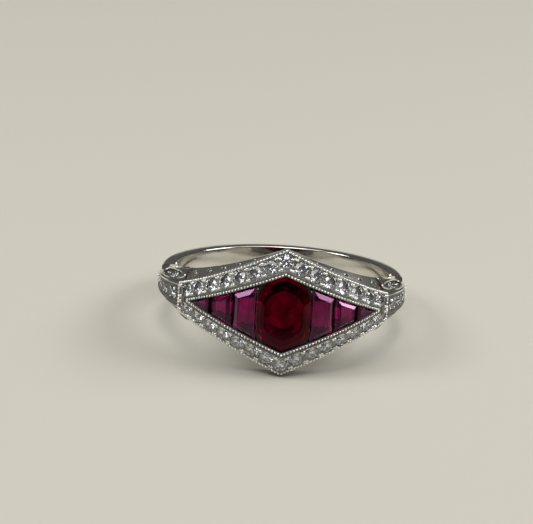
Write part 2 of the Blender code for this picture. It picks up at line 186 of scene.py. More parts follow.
class Surface(Graph):
    """A material's shader tree, with its Principled BSDF and coordinates in the ring's frame."""

    def __init__(self, name: str) -> None:
        """Make an empty material.

        Args:
            name: the material's name.
        """
        self.material = bpy.data.materials.new(name)
        self.material.use_nodes = True
        super().__init__(self.material.node_tree)
        self.shader = self.tree.nodes["Principled BSDF"]

    def set(self, **values: SocketValue) -> None:
        """Set or link sockets of the shader; underscores in names stand for spaces."""
        for name, value in values.items():
            self.feed(self.shader.inputs[name.replace("_", " ")], value)

    def ring_coordinates(self) -> bpy.types.NodeSocket:
        """Turn object coordinates into the ring's own frame.

        Returns:
            The coordinates, in metres.
        """
        place = self.node("ShaderNodeTexCoord")
        turn = RING.to_world.inverted()
        mapping = self.node(
            "ShaderNodeMapping",
            {"vector_type": "POINT"},
            {"Vector": place.outputs["Object"], "Location": tuple(turn.translation),
             "Rotation": tuple(turn.to_euler())},
        )
        return mapping.outputs[0]

    def around_band(self, place: SocketValue, per_mm_along: float, per_mm_across: float) -> Term:
        """Coordinates that run round the band, for marks left by polishing along it.

        Args:
            place: coordinates in the ring's frame, in metres.
            per_mm_along: cells to a millimetre along the band.
            per_mm_across: cells to a millimetre across it.

        Returns:
            Coordinates in which a cell is 1 wide.
        """
        split = self.node("ShaderNodeSeparateXYZ", None, {0: place})
        x, y, z = (self.term(split, axis) for axis in range(3))
        angle = x.math("ARCTAN2", y)
        radius = (x * x + y * y) ** 0.5
        across = per_mm_across / MM
        parts = {0: angle * (BAND_RADIUS * per_mm_along), 1: radius * across, 2: z * across}
        return self.term(self.node("ShaderNodeCombineXYZ", None, parts))

    def attribute(self, name: str) -> Term:
        """Number stored on the mesh's points."""
        return self.term(self.node("ShaderNodeAttribute", {"attribute_name": name}), "Fac")

    def noise(self, vector: SocketValue, scale: float, detail: float = 3.0, roughness: float = 0.5) -> Term:
        """Noise.

        Args:
            vector: coordinates.
            scale: cells to one unit of the coordinates.
            detail: octaves of finer noise.
            roughness: strength of each octave beside the one before.

        Returns:
            The noise, 0 to 1.
        """
        values = {"Vector": vector, "Scale": scale, "Detail": detail, "Roughness": roughness}
        return self.term(self.node("ShaderNodeTexNoise", None, values))

    def ramp(self, value: SocketValue, low: float, high: float) -> Term:
        """Smooth step from 0 at `low` to 1 at `high`."""
        settings = {"interpolation_type": "SMOOTHSTEP"}
        return self.term(self.node("ShaderNodeMapRange", settings, {0: value, 1: low, 2: high}))

    def bump(self, height: Term, strength: float, distance_mm: float) -> bpy.types.NodeSocket:
        """Normal from a height of 0 to 1."""
        values = {"Strength": strength, "Distance": distance_mm * MM, "Height": height}
        return self.node("ShaderNodeBump", None, values).outputs[0]


# ---------------- ring frame


@dataclass(frozen=True)
class RingFrame:
    """The ring's own frame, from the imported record's finger hole.

    Attributes:
        centre: middle of the finger hole, in metres.
        axis: direction of the finger.
    """

    centre: Vector
    axis: Vector

    @classmethod
    def from_record(cls, record: dict) -> "RingFrame":
        """Read the frame from the record's finger hole."""
        hole = next(mount for mount in record["mounts"] if mount["name"] == "finger_hole")
        return cls(Vector(hole["pos_m"]), Vector(hole["axis"]).normalized())

    @property
    def to_world(self) -> Matrix:
        """Matrix that turns the ring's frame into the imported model's frame.

        Returns:
            The matrix, for lengths in metres.
        """
        along = Vector((1.0, 0.0, 0.0))
        back = self.axis.cross(along).normalized()
        turn = Matrix((along, back, self.axis)).transposed().to_4x4()
        return Matrix.Translation(self.centre) @ turn

    @property
    def from_packed(self) -> Matrix:
        """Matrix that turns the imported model's metres into the ring's frame in millimetres."""
        return Matrix.Scale(1.0 / MM, 4) @ self.to_world.inverted()


RING = RingFrame.from_record(frame["record"])


def around(angle: float, radius: float, z: float) -> Vector:
    """Point at an angle around the finger from the middle of the head, in millimetres."""
    return Vector((radius * math.sin(angle), -radius * math.cos(angle), z))


def spaced_turns(count: int) -> list:
    """Evenly spaced angles of a full turn, in radians."""
    return [2.0 * math.pi * index / count for index in range(count)]


def clamp(value: float) -> float:
    """Value held between 0 and 1."""
    return min(max(value, 0.0), 1.0)


def depth_share(depth: float, limits: tuple) -> float:
    """How strong the painted shade and grime are at a depth: 0 at the first limit or above it, 1 below the
    second.
    """
    start, end = limits
    return clamp((depth - start) / (end - start))


# ---------------- finishes


@dataclass(frozen=True)
class Platinum:
    """White precious metal, polished by hand and lightly worn.

    Attributes:
        name: the material's name.
        color: colour of the clean metal.
        roughness: roughness of the clean metal.
        shades: brightness of the least and of the most worn metal, beside its colour.
        wear_per_mm: cells of uneven wear to a millimetre.
        scratch_per_mm: cells of fine scratches to a millimetre.
        uneven: what wear, scratches and polishing lines add to the roughness where they are strongest.
        lines: strength of the fine polishing lines that run round the band.
        lines_per_mm: cells of these lines to a millimetre, along the band and across it.
        relief: strength of the bumps, and their height in millimetres.
        grime_and_shade: how far the recesses go towards a dark colour, as painted shade and old polish.
        grime_and_shade_color: dark colour of the painted shade and old polish.
        grime_and_shade_roughness: what it adds to the roughness.
        grime_and_shade_cover: how much of the metal's own reflection it takes away.
        speck_per_mm: cells of unevenness in it to a millimetre.
        speck: its least strength and how much more it has at its strongest.
    """

    name: str
    color: tuple
    roughness: float = 0.09
    shades: tuple = (0.93, 1.04)
    wear_per_mm: float = 0.9
    scratch_per_mm: float = 7.0
    uneven: tuple = (0.10, 0.05, 0.08)
    lines: float = 0.0
    lines_per_mm: tuple = (0.25, 14.0)
    relief: tuple = (0.16, 0.008)
    grime_and_shade: float = 0.0
    grime_and_shade_color: tuple = (0.055, 0.048, 0.040)
    grime_and_shade_roughness: float = 0.4
    grime_and_shade_cover: float = 0.55
    speck_per_mm: float = 11.0
    speck: tuple = (0.72, 0.28)

    def build(self) -> bpy.types.Material:
        """Make the material.

        Returns:
            The material.
        """
        surface = Surface(self.name)
        place = surface.ring_coordinates()
        wear = surface.noise(place, self.wear_per_mm / MM, 4.0)
        scratch = surface.noise(place, self.scratch_per_mm / MM, 5.0, 0.7)
        from_wear, from_scratches, from_lines = self.uneven
        roughness = wear * from_wear + scratch * from_scratches + (self.roughness - 0.06)
        height = scratch * 0.5
        if self.lines:
            band = surface.noise(surface.around_band(place, *self.lines_per_mm), 1.0, 4.0, 0.65)
            roughness = roughness + band * from_lines - 0.5 * from_lines
            height = height + band * self.lines
        color = surface.mix(wear, *(self._shade(factor) for factor in self.shades))
        metallic: SocketValue = 1.0
        # Painted shade and grime: the stored recess value darkens the metal towards a near-black colour in
        # recesses and beside the milgrain.
        if self.grime_and_shade:
            recess = surface.attribute("recess")
            speck = surface.ramp(surface.noise(place, self.speck_per_mm / MM), 0.30, 0.70)
            least, more = self.speck
            dirt_and_shade = recess * (speck * more + least) * self.grime_and_shade
            color = surface.mix(dirt_and_shade, color, (*self.grime_and_shade_color, 1.0))
            roughness = roughness + dirt_and_shade * self.grime_and_shade_roughness
            metallic = 1.0 - dirt_and_shade * self.grime_and_shade_cover
        surface.set(Base_Color=color, Metallic=metallic, Roughness=roughness,
                    Normal=surface.bump(height, *self.relief))
        return surface.material

    def _shade(self, factor: float) -> tuple:
        """Metal's colour, lighter or darker."""
        return (*(min(channel * factor, 1.0) for channel in self.color), 1.0)


@dataclass(frozen=True)
class Ruby:
    """Polished ruby with uneven colour inside.

    Attributes:
        name: the material's name.
        deep: colour of the darker zones.
        bright: colour of the lighter zones.
        gloss: tint of what the polished facets reflect.
        zone_per_mm: cells of colour zoning to a millimetre.
        polish_per_mm: cells of uneven polish to a millimetre.
        index: refractive index.
    """

    name: str
    deep: tuple
    bright: tuple
    gloss: tuple
    zone_per_mm: float = 0.7
    polish_per_mm: float = 6.0
    index: float = 1.77

    def build(self) -> bpy.types.Material:
        """Make the material.

        Returns:
            The material.
        """
        surface = Surface(self.name)
        place = surface.ring_coordinates()
        zoning = surface.ramp(surface.noise(place, self.zone_per_mm / MM, 2.0), 0.32, 0.68)
        polish = surface.noise(place, self.polish_per_mm / MM)
        surface.set(
            Base_Color=surface.mix(zoning, (*self.deep, 1.0), (*self.bright, 1.0)),
            Roughness=polish * 0.03 + 0.005,
            IOR=self.index,
            Specular_Tint=(*self.gloss, 1.0),
            Transmission_Weight=1.0,
        )
        return surface.material


@dataclass(frozen=True)
class Diamond:
    """Colourless diamond with a trace of wear on its facets.

    Attributes:
        name: the material's name.
        color: colour of the clear stone.
        haze_color: its colour where it is worn.
        haze_per_mm: cells of wear to a millimetre.
        index: refractive index.
    """

    name: str = "diamond_cut"
    color: tuple = (0.97, 0.98, 1.0)
    haze_color: tuple = (0.90, 0.92, 0.96)
    haze_per_mm: float = 4.0
    index: float = 2.42

    def build(self) -> bpy.types.Material:
        """Make the material.

        Returns:
            The material.
        """
        surface = Surface(self.name)
        haze = surface.noise(surface.ring_coordinates(), self.haze_per_mm / MM)
        surface.set(
            Base_Color=surface.mix(haze, (*self.color, 1.0), (*self.haze_color, 1.0)),
            Roughness=haze * 0.03,
            IOR=self.index,
            Transmission_Weight=1.0,
        )
        return surface.material


@dataclass(frozen=True)
class StudioFloor:
    """Pale floor with a painted pool of light round the ring; its colour falls off to dark away from it.

    Attributes:
        name: the material's name.
        color: of the middle, in the painted pool of light.
        painted_dark_color: painted shade of the floor far away.
        painted_falloff: distances from the middle at which the painted darkening starts and ends, in metres.
        middle: how far behind the ring the painted pool of light has its middle, in metres.
        roughness: of the floor.
    """

    name: str = "studio_floor"
    color: tuple = (0.60, 0.572, 0.485)
    painted_dark_color: tuple = (0.085, 0.08, 0.07)
    painted_falloff: tuple = (0.064, 0.125)
    middle: float = 0.022
    roughness: float = 0.6

    def build(self) -> bpy.types.Material:
        """Make the material.

        Returns:
            The material.
        """
        surface = Surface(self.name)
        place = surface.node("ShaderNodeTexCoord").outputs["Object"]
        split = surface.node("ShaderNodeSeparateXYZ", None, {0: place})
        x, y = surface.term(split, 0), surface.term(split, 1) - self.middle
        # Painted pool of light: the floor darkens away from its middle.
        far = surface.ramp((x * x + y * y) ** 0.5, *self.painted_falloff)
        color = surface.mix(far, (*self.color, 1.0), (*self.painted_dark_color, 1.0))
        surface.set(Base_Color=color, Roughness=self.roughness)
        return surface.material


# ---------------- shapes


class Blank:
    """A mesh in the making, in the ring's frame and in millimetres."""

    def __init__(self) -> None:
        """Start empty."""
        self.shape = bmesh.new()

    def loft(self, sections: Sequence[Path], closed: bool = False) -> "Blank":
        """Skin closed sections with the same number of points.

        Args:
            sections: the sections in order.
            closed: whether the last section joins the first; an open loft gets end caps.

        Returns:
            This blank.
        """
        rings = [[self.shape.verts.new(point) for point in section] for section in sections]
        following = rings[1:] + rings[:1] if closed else rings[1:]
        for ring, after in zip(rings, following):
            for corner, vertex in enumerate(ring):
                other = (corner + 1) % len(ring)
                self.shape.faces.new((vertex, ring[other], after[other], after[corner]))
        if not closed:
            self.shape.faces.new(rings[0])
            self.shape.faces.new(rings[-1])
        return self

    def tube(self, path: Path, radius: float, closed: bool = False, sides: int = 8) -> "Blank":
        """Round wire along a path.

        Args:
            path: middle line of the wire.
            radius: radius of the wire.
            closed: whether the path closes on itself.
            sides: points round the wire.

        Returns:
            This blank.
        """
        count = len(path)
        sections = []
        for index, point in enumerate(path):
            before = path[index - 1] if closed or index else path[0]
            after = path[(index + 1) % count] if closed or index < count - 1 else path[-1]
            along = (after - before).normalized()
            outward = Vector((point.x, point.y, 0.0)).normalized()
            across = along.cross(outward).normalized()
            up = across.cross(along)
            turns = spaced_turns(sides)
            sections.append([point + (across * math.cos(t) + up * math.sin(t)) * radius for t in turns])
        return self.loft(sections, closed)

    def lathe(self, profile: Sequence[tuple], place: Matrix, sides: int) -> "Blank":
        """Turned shape about the Z axis of a placement.

        Args:
            profile: (radius, height) pairs from the top of the axis to its bottom.
            place: placement of the shape.
            sides: points round the shape.

        Returns:
            This blank.
        """
        turns = spaced_turns(sides)
        rings = []
        for radius, height in profile:
            spots = turns if radius > 0.0 else turns[:1]
            points = [Vector((radius * math.cos(t), radius * math.sin(t), height)) for t in spots]
            rings.append([self.shape.verts.new(place @ point) for point in points])
        for ring, after in zip(rings, rings[1:]):
            for corner in range(sides):
                other = (corner + 1) % sides
                corners = [ring[corner % len(ring)], ring[other % len(ring)],
                           after[other % len(after)], after[corner % len(after)]]
                self.shape.faces.new(list(dict.fromkeys(corners)))
        return self

    def solid(self, points: Path, faces: Sequence[Sequence[int]]) -> None:
        """Add a solid.

        Args:
            points: its corners.
            faces: for each face, the numbers of its corners.
        """
        corners = [self.shape.verts.new(point) for point in points]
        for face in faces:
            self.shape.faces.new([corners[index] for index in face])

    def mesh(self, name: str) -> bpy.types.Mesh:
        """Turn into a mesh, still in millimetres, with faces pointing outwards.

        Args:
            name: the mesh's name.

        Returns:
            The mesh. The blank is used up.
        """
        bmesh.ops.recalc_face_normals(self.shape, faces=self.shape.faces)
        mesh = bpy.data.meshes.new(name)
        self.shape.to_mesh(mesh)
        self.shape.free()
        return mesh

    def cut(self, cutter: "Blank") -> "Blank":
        """Cut another blank out of this one. Both are used up.

        Args:
            cutter: what is cut away.

        Returns:
            What is left.
        """
        target = linked("blank", self.mesh("blank"))
        tool = linked("cutter", cutter.mesh("cutter"))
        boolean = target.modifiers.new("cut", "BOOLEAN")
        boolean.operation = "DIFFERENCE"
        boolean.object = tool
        boolean.use_self = True
        result = evaluated_mesh(target)
        for used in (target, tool):
            bpy.data.objects.remove(used, do_unlink=True)
        left = Blank()
        left.shape.from_mesh(result)
        bmesh.ops.remove_doubles(left.shape, verts=left.shape.verts, dist=WELD)
        return left

    def finish(self, name: str, material: bpy.types.Material, sharp: float = 30.0) -> bpy.types.Object:
        """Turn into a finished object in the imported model's frame.

        Args:
            name: the piece's name.
            material: its material.
            sharp: edges sharper than this angle, in degrees, stay crisp; 0 leaves every facet flat.

        Returns:
            The object, at the origin.
        """
        mesh = self.mesh(name)
        mesh.materials.append(material)
        return settle(name, mesh, sharp)


def linked(name: str, mesh: bpy.types.Mesh) -> bpy.types.Object:
    """Put a mesh in the scene.

    Args:
        name: the object's name.
        mesh: the mesh.

    Returns:
        The object.
    """
    made = bpy.data.objects.new(name, mesh)
    bpy.context.scene.collection.objects.link(made)
    return made


def evaluated_mesh(source: bpy.types.Object) -> bpy.types.Mesh:
    """Mesh of an object with its modifiers applied."""
    graph = bpy.context.evaluated_depsgraph_get()
    return bpy.data.meshes.new_from_object(source.evaluated_get(graph))


def settle(name: str, mesh: bpy.types.Mesh, sharp: float) -> bpy.types.Object:
    """Turn a mesh from the ring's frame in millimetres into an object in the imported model's frame.

    Args:
        name: the object's name.
        mesh: the mesh.
        sharp: edges sharper than this angle, in degrees, stay crisp; 0 leaves every facet flat.

    Returns:
        The object, at the origin.
    """
    mesh.transform(RING.to_world @ Matrix.Scale(MM, 4))
    mesh.name = name
    if sharp:
        mesh.shade_smooth()
        mesh.set_sharp_from_angle(angle=math.radians(sharp))
    else:
        mesh.shade_flat()
    return linked(name, mesh)


def mark_recess(piece: bpy.types.Object, depth_at: Callable[[Vector], float]) -> None:
    """Store on every point how deep it lies in the work, for the painted shade and grime in the metal's
    finish.

    Args:
        piece: a finished object.
        depth_at: function of a point in the ring's frame, in millimetres, giving 0 to 1.
    """
    back = RING.from_packed
    levels = [depth_at(back @ vertex.co) for vertex in piece.data.vertices]
    piece.data.attributes.new("recess", "FLOAT", "POINT").data.foreach_set("value", levels)


def enlist(piece: bpy.types.Object, finish: Finish, *nodes: str) -> bpy.types.Object:
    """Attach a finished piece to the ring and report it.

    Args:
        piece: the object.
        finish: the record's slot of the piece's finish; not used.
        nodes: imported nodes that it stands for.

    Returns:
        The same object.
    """
    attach(piece, BODY)
    if nodes:
        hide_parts(*nodes)
    log.info("%s: %d faces, replaces %s", piece.name, len(piece.data.polygons), ", ".join(nodes) or "nothing")
    return piece


def frame_of(origin: Vector, across: Vector, outward: Vector) -> Matrix:
    """Placement that faces along a direction.

    Args:
        origin: its origin.
        across: its X axis points this way, as nearly as it can.
        outward: its Z axis.

    Returns:
        The placement.
    """
    z_axis = outward.normalized()
    y_axis = z_axis.cross(across).normalized()
    x_axis = y_axis.cross(z_axis)
    return Matrix.Translation(origin) @ Matrix((x_axis, y_axis, z_axis)).transposed().to_4x4()


# Fraction of the way from the head's upper or lower point at which a clipped end begins.
CORNER = 0.9


@dataclass(frozen=True)
class Outline:
    """Lozenge clipped at both ends and draped on a cylinder.

    Attributes:
        height: half height at the middle.
        length: half length of the unclipped lozenge.
        clip: half length at which it is clipped.
        mid_radius: distance from the finger's axis at the middle.
        end_radius: distance from the finger's axis at the clipped end.
    """

    height: float
    length: float
    clip: float
    mid_radius: float
    end_radius: float

    def point(self, fraction: float, side: int, half: int, depth: float = 0.0) -> Vector:
        """Point on the outline.

        Args:
            fraction: 0 at the upper or lower point, CORNER at the clip's corner, 1 at its middle.
            side: -1 for left, 1 for right.
            half: 1 for upper, -1 for lower.
            depth: how far below the cylinder.

        Returns:
            The point in the ring's frame.
        """
        along = self.clip * min(fraction / CORNER, 1.0)
        height = self.height * (1.0 - along / self.length)
        if fraction > CORNER:
            height *= (1.0 - fraction) / (1.0 - CORNER)
        radius = self.mid_radius + (self.end_radius - self.mid_radius) * along / self.clip
        return around(side * math.asin(along / radius), radius - depth, half * height)


def head_stations(slope_steps: int = 26, end_steps: int = 5) -> list:
    """Places round the head, starting at its upper point.

    Args:
        slope_steps: steps along each sloping side.
        end_steps: steps on each half of a clipped end.

    Returns:
        Fraction, side and half of each place.
    """
    slope = [CORNER * step / slope_steps for step in range(slope_steps)]
    end = [CORNER + (1.0 - CORNER) * step / end_steps for step in range(end_steps + 1)]
    rising = slope + end
    stations = []
    for side, half, turned in ((1, 1, False), (1, -1, True), (-1, -1, False), (-1, 1, True)):
        run = rising[:0:-1] if turned else rising[:-1]
        stations += [(fraction, side, half) for fraction in run]
    return stations


@dataclass(frozen=True)
class HeadPlan:
    """Nested outlines of the head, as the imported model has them.

    Attributes:
        stone_edge: inner face of the channel wall.
        channel_edge: outer face of the channel wall.
        ledge_edge: inner edge of the ledge below the rubies.
        border_inner: inner edge of the border plate.
        border_outer: outer edge of the border plate.
        wall_inner: inner face of the gallery walls at their tops.
        rail_outer: outer edge of the finger rail.
        rail_inner: inner edge of the finger rail.
    """

    stone_edge: Outline = Outline(3.05, 7.30, 7.25, 10.42, 10.42)
    channel_edge: Outline = Outline(3.29, 7.87, 7.62, 10.42, 10.42)
    ledge_edge: Outline = Outline(2.62, 6.95, 6.90, 10.42, 10.42)
    border_inner: Outline = Outline(3.32, 7.95, 7.65, 10.40, 10.40)
    border_outer: Outline = Outline(4.95, 10.55, 8.10, 9.60, 10.02)
    wall_inner: Outline = Outline(4.60, 9.70, 7.93, 9.60, 10.02)
    rail_outer: Outline = Outline(4.80, 12.60, 7.15, 8.85, 8.85)
    rail_inner: Outline = Outline(4.35, 11.40, 6.80, 8.85, 8.85)

    @staticmethod
    def between(inner: Outline, outer: Outline, share: float, station: tuple, depth: float = 0.0) -> Vector:
        """Point a share of the way from one outline to another at a station."""
        near = inner.point(*station, depth)
        return near.lerp(outer.point(*station, depth), share)


PLAN = HeadPlan()


@dataclass(frozen=True)
class Setting:
    """Where a diamond sits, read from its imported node.

    Attributes:
        origin: middle of its girdle, in the ring's frame.
        outward: direction its table faces.
        diameter: of its girdle, in millimetres.
    """

    origin: Vector
    outward: Vector
    diameter: float

    @classmethod
    def of(cls, node: str) -> "Setting":
        """Find the girdle of a packed diamond: the points that are a whole diameter apart.

        Args:
            node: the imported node's name.

        Returns:
            The diamond's setting.
        """
        back = RING.from_packed
        points = np.array([back @ vertex.co for vertex in frame["nodes"][node].data.vertices])
        points = np.unique(points.round(4), axis=0)
        reach = np.linalg.norm(points[:, None] - points[None], axis=2)
        diameter = reach.max()
        girdle = points[reach.max(axis=1) > 0.985 * diameter]
        centre = girdle.mean(axis=0)
        axis = np.linalg.svd(girdle - centre)[2][2]
        if axis @ np.array([centre[0], centre[1], 0.0]) < 0.0:
            axis = -axis
        return cls(Vector(centre), Vector(axis), float(diameter))

    def place(self, turn: float = 0.0) -> Matrix:
        """Placement with Z outwards, turned about it; X is across a direction that no diamond faces."""
        across = self.outward.cross(Vector((0.31, 0.17, 0.94)))
        return frame_of(self.origin, across, self.outward) @ Matrix.Rotation(turn, 4, "Z")


def seats(settings: Sequence[Setting], clearance: float = 0.04, sides: int = 20) -> Blank:
    """Drilled seats for diamonds, as one cutter.

    Args:
        settings: the diamonds.
        clearance: room round the girdle.
        sides: points round a seat.

    Returns:
        The cutter.
    """
    cutter = Blank()
    top, ledge = 0.5, -0.06
    for setting in settings:
        rim = 0.5 * setting.diameter + clearance
        bottom = -0.46 * setting.diameter
        profile = [(0.0, top), (rim, top), (rim, ledge), (0.45 * rim, bottom), (0.0, bottom)]
        cutter.lathe(profile, setting.place(), sides)
    return cutter


# ---------------- repeats


class RepeatTree(Graph):
    """Geometry Nodes tree that sets small metal shapes along a path or on points."""

    def __init__(self, name: str, inputs: dict) -> None:
        """Make the tree with a geometry input and named inputs.

        Args:
            name: the tree's name.
            inputs: socket type of each named input.
        """
        super().__init__(bpy.data.node_groups.new(name, "GeometryNodeTree"))
        self.tree.interface.new_socket("Geometry", in_out="INPUT", socket_type="NodeSocketGeometry")
        for label, kind in inputs.items():
            self.tree.interface.new_socket(label, in_out="INPUT", socket_type=kind)
        self.tree.interface.new_socket("Geometry", in_out="OUTPUT", socket_type="NodeSocketGeometry")
        self.given = self.node("NodeGroupInput").outputs

    def size(self, label: str) -> Term:
        """Named input, for use in expressions."""
        return Term(self, self.given[label])

    def end(self, instances: bpy.types.NodeSocket) -> None:
        """Make the instances real, smooth them and give them the material.

        Args:
            instances: output with the instances.
        """
        real = self.node("GeometryNodeRealizeInstances", None, {0: instances})
        smooth = self.node("GeometryNodeSetShadeSmooth", None, {"Geometry": real.outputs[0]})
        dressed = self.node("GeometryNodeSetMaterial", None,
                            {"Geometry": smooth.outputs[0], "Material": self.given["Material"]})
        self.node("NodeGroupOutput", None, {0: dressed.outputs[0]})

    def grow(self, name: str, source: bpy.types.Mesh, values: dict) -> bpy.types.Object:
        """Run the tree on a mesh and keep the result as a finished object.

        Args:
            name: the piece's name.
            source: path or points, in millimetres in the ring's frame.
            values: value of each named input.

        Returns:
            The object, a plain mesh at the origin.
        """
        holder = linked("source", source)
        modifier = holder.modifiers.new("repeat", "NODES")
        modifier.node_group = self.tree
        for item in self.tree.interface.items_tree:
            if item.in_out == "INPUT" and item.name in values:
                modifier[item.identifier] = values[item.name]
        result = evaluated_mesh(holder)
        bpy.data.objects.remove(holder, do_unlink=True)
        return settle(name, result, 60.0)

    @staticmethod
    def points(name: str, spots: Path, sizes: Sequence[float]) -> bpy.types.Mesh:
        """Loose points that carry their sizes.

        Args:
            name: the mesh's name.
            spots: where they are.
            sizes: size of each.

        Returns:
            The points as a mesh.
        """
        mesh = bpy.data.meshes.new(name)
        mesh.from_pydata(spots, [], [])
        mesh.attributes.new("size", "FLOAT", "POINT").data.foreach_set("value", list(sizes))
        return mesh


class Milgrain(RepeatTree):
    """Row of small beads rolled along an edge.

    Attributes:
        spread: how much larger or smaller than its full size a bead can be, as a share.
    """

    spread: float = 0.08

    def __init__(self) -> None:
        """Build the tree."""
        super().__init__("milgrain", {
            "Pitch": "NodeSocketFloat", "Bead Radius": "NodeSocketFloat", "Spread": "NodeSocketFloat",
            "Seed": "NodeSocketInt", "Material": "NodeSocketMaterial",
        })
        curve = self.node("GeometryNodeMeshToCurve", None, {"Mesh": self.given["Geometry"]})
        dots = self.node("GeometryNodeResampleCurve", {"mode": "LENGTH"},
                         {"Curve": curve.outputs[0], "Length": self.given["Pitch"]})
        spread = self.size("Spread")
        chance = self.node("FunctionNodeRandomValue", {"data_type": "FLOAT"},
                           {2: 1.0 - spread, 3: 1.0 + spread, 8: self.given["Seed"]})
        size = self.term(chance, 1) * self.size("Bead Radius")
        bead = self.node("GeometryNodeMeshUVSphere", None, {"Segments": 8, "Rings": 6, "Radius": 1.0})
        beads = self.node("GeometryNodeInstanceOnPoints", None,
                          {"Points": dots.outputs[0], "Instance": bead.outputs[0], "Scale": size})
        self.end(beads.outputs[0])

    def row(self, name: str, path: Path, closed: bool, pitch: float, radius: float,
            material: bpy.types.Material, seed: int) -> bpy.types.Object:
        """Roll beads along a path.

        Args:
            name: the piece's name.
            path: line through the middles of the beads.
            closed: whether the path closes on itself.
            pitch: distance between beads.
            radius: of a bead.
            material: its material.
            seed: for the slight difference between beads.

        Returns:
            The row as a finished object.
        """
        mesh = bpy.data.meshes.new(name)
        edges = [(index, index + 1) for index in range(len(path) - 1)]
        if closed:
            edges.append((len(path) - 1, 0))
        mesh.from_pydata(path, edges, [])
        return self.grow(name, mesh, {"Pitch": pitch, "Bead Radius": radius, "Spread": self.spread,
                                      "Seed": seed, "Material": material})


class Grains(RepeatTree):
    """Grains of metal pushed up beside the diamonds, each of its own size."""

    def __init__(self) -> None:
        """Build the tree."""
        super().__init__("grains", {"Grain Size": "NodeSocketFloat", "Material": "NodeSocketMaterial"})
        own = self.node("GeometryNodeInputNamedAttribute", {"data_type": "FLOAT"}, {"Name": "size"})
        size = self.term(own) * self.size("Grain Size")
        ball = self.node("GeometryNodeMeshUVSphere", None, {"Segments": 9, "Rings": 6, "Radius": 1.0})
        grains = self.node("GeometryNodeInstanceOnPoints", None,
                           {"Points": self.given["Geometry"], "Instance": ball.outputs[0], "Scale": size})
        self.end(grains.outputs[0])

    def set(self, name: str, spots: Path, sizes: Sequence[float], grain: float,
            material: bpy.types.Material) -> bpy.types.Object:
        """Raise grains at given spots.

        Args:
            name: the piece's name.
            spots: middles of the grains.
            sizes: size of each, as a share of the full grain.
            grain: radius of a full grain.
            material: its material.

        Returns:
            The grains as a finished object.
        """
        mesh = self.points(name, spots, sizes)
        return self.grow(name, mesh, {"Grain Size": grain, "Material": material})


class Collets(RepeatTree):
    """Wire rings round the openings of the gallery."""

    def __init__(self) -> None:
        """Build the tree."""
        super().__init__("collets", {"Wire Radius": "NodeSocketFloat", "Material": "NodeSocketMaterial"})
        size = self.node("GeometryNodeInputNamedAttribute", {"data_type": "FLOAT"}, {"Name": "size"})
        facing = self.node("GeometryNodeInputNamedAttribute", {"data_type": "FLOAT_VECTOR"},
                           {"Name": "facing"})
        hoop = self.node("GeometryNodeCurvePrimitiveCircle", None, {"Resolution": 24, "Radius": 1.0})
        wire = self.node("GeometryNodeCurvePrimitiveCircle", None,
                         {"Resolution": 6, "Radius": self.given["Wire Radius"]})
        ring = self.node("GeometryNodeCurveToMesh", None,
                         {"Curve": hoop.outputs[0], "Profile Curve": wire.outputs[0]})
        turn = self.node("FunctionNodeAlignRotationToVector", {"axis": "Z"}, {"Vector": facing.outputs[0]})
        rings = self.node("GeometryNodeInstanceOnPoints", None, {
            "Points": self.given["Geometry"], "Instance": ring.outputs[0],
            "Rotation": turn.outputs[0], "Scale": size.outputs[0],
        })
        self.end(rings.outputs[0])

    def set(self, name: str, places: Sequence[Matrix], sizes: Sequence[float], wire: float,
            material: bpy.types.Material) -> bpy.types.Object:
        """Set rings at given placements, each facing along its Z axis.

        Args:
            name: the piece's name.
            places: placements of the rings.
            sizes: radius of each ring.
            wire: radius of the wire, as a share of the ring's radius.
            material: its material.

        Returns:
            The rings as a finished object.
        """
        mesh = self.points(name, [place.translation for place in places], sizes)
        facing = np.array([place.col[2][:3] for place in places]).ravel()
        mesh.attributes.new("facing", "FLOAT_VECTOR", "POINT").data.foreach_set("vector", facing)
        return self.grow(name, mesh, {"Wire Radius": wire, "Material": material})


# ---------------- sub-assemblies


@dataclass(frozen=True)
class Workbench:
    """Finishes and repeat trees that the sub-assemblies share.

    Attributes:
        polished: plain bright metal of the band and the rail.
        worked: metal of the set and pierced pieces, with painted shade and grime in its recesses.
        beads: lighter copy of the metal, a painted highlight on beads, grains and wires.
        painted_shadow: near-black metal below the rubies, painted shade.
        deep_ruby: the middle ruby.
        pink_ruby: the side rubies.
        diamond: the diamonds.
        milgrain: rows of beads.
        grains: grains beside the diamonds.
        collets: wire rings round the gallery's openings.
    """

    polished: bpy.types.Material
    worked: bpy.types.Material
    beads: bpy.types.Material
    painted_shadow: bpy.types.Material
    deep_ruby: bpy.types.Material
    pink_ruby: bpy.types.Material
    diamond: bpy.types.Material
    milgrain: Milgrain
    grains: Grains
    collets: Collets


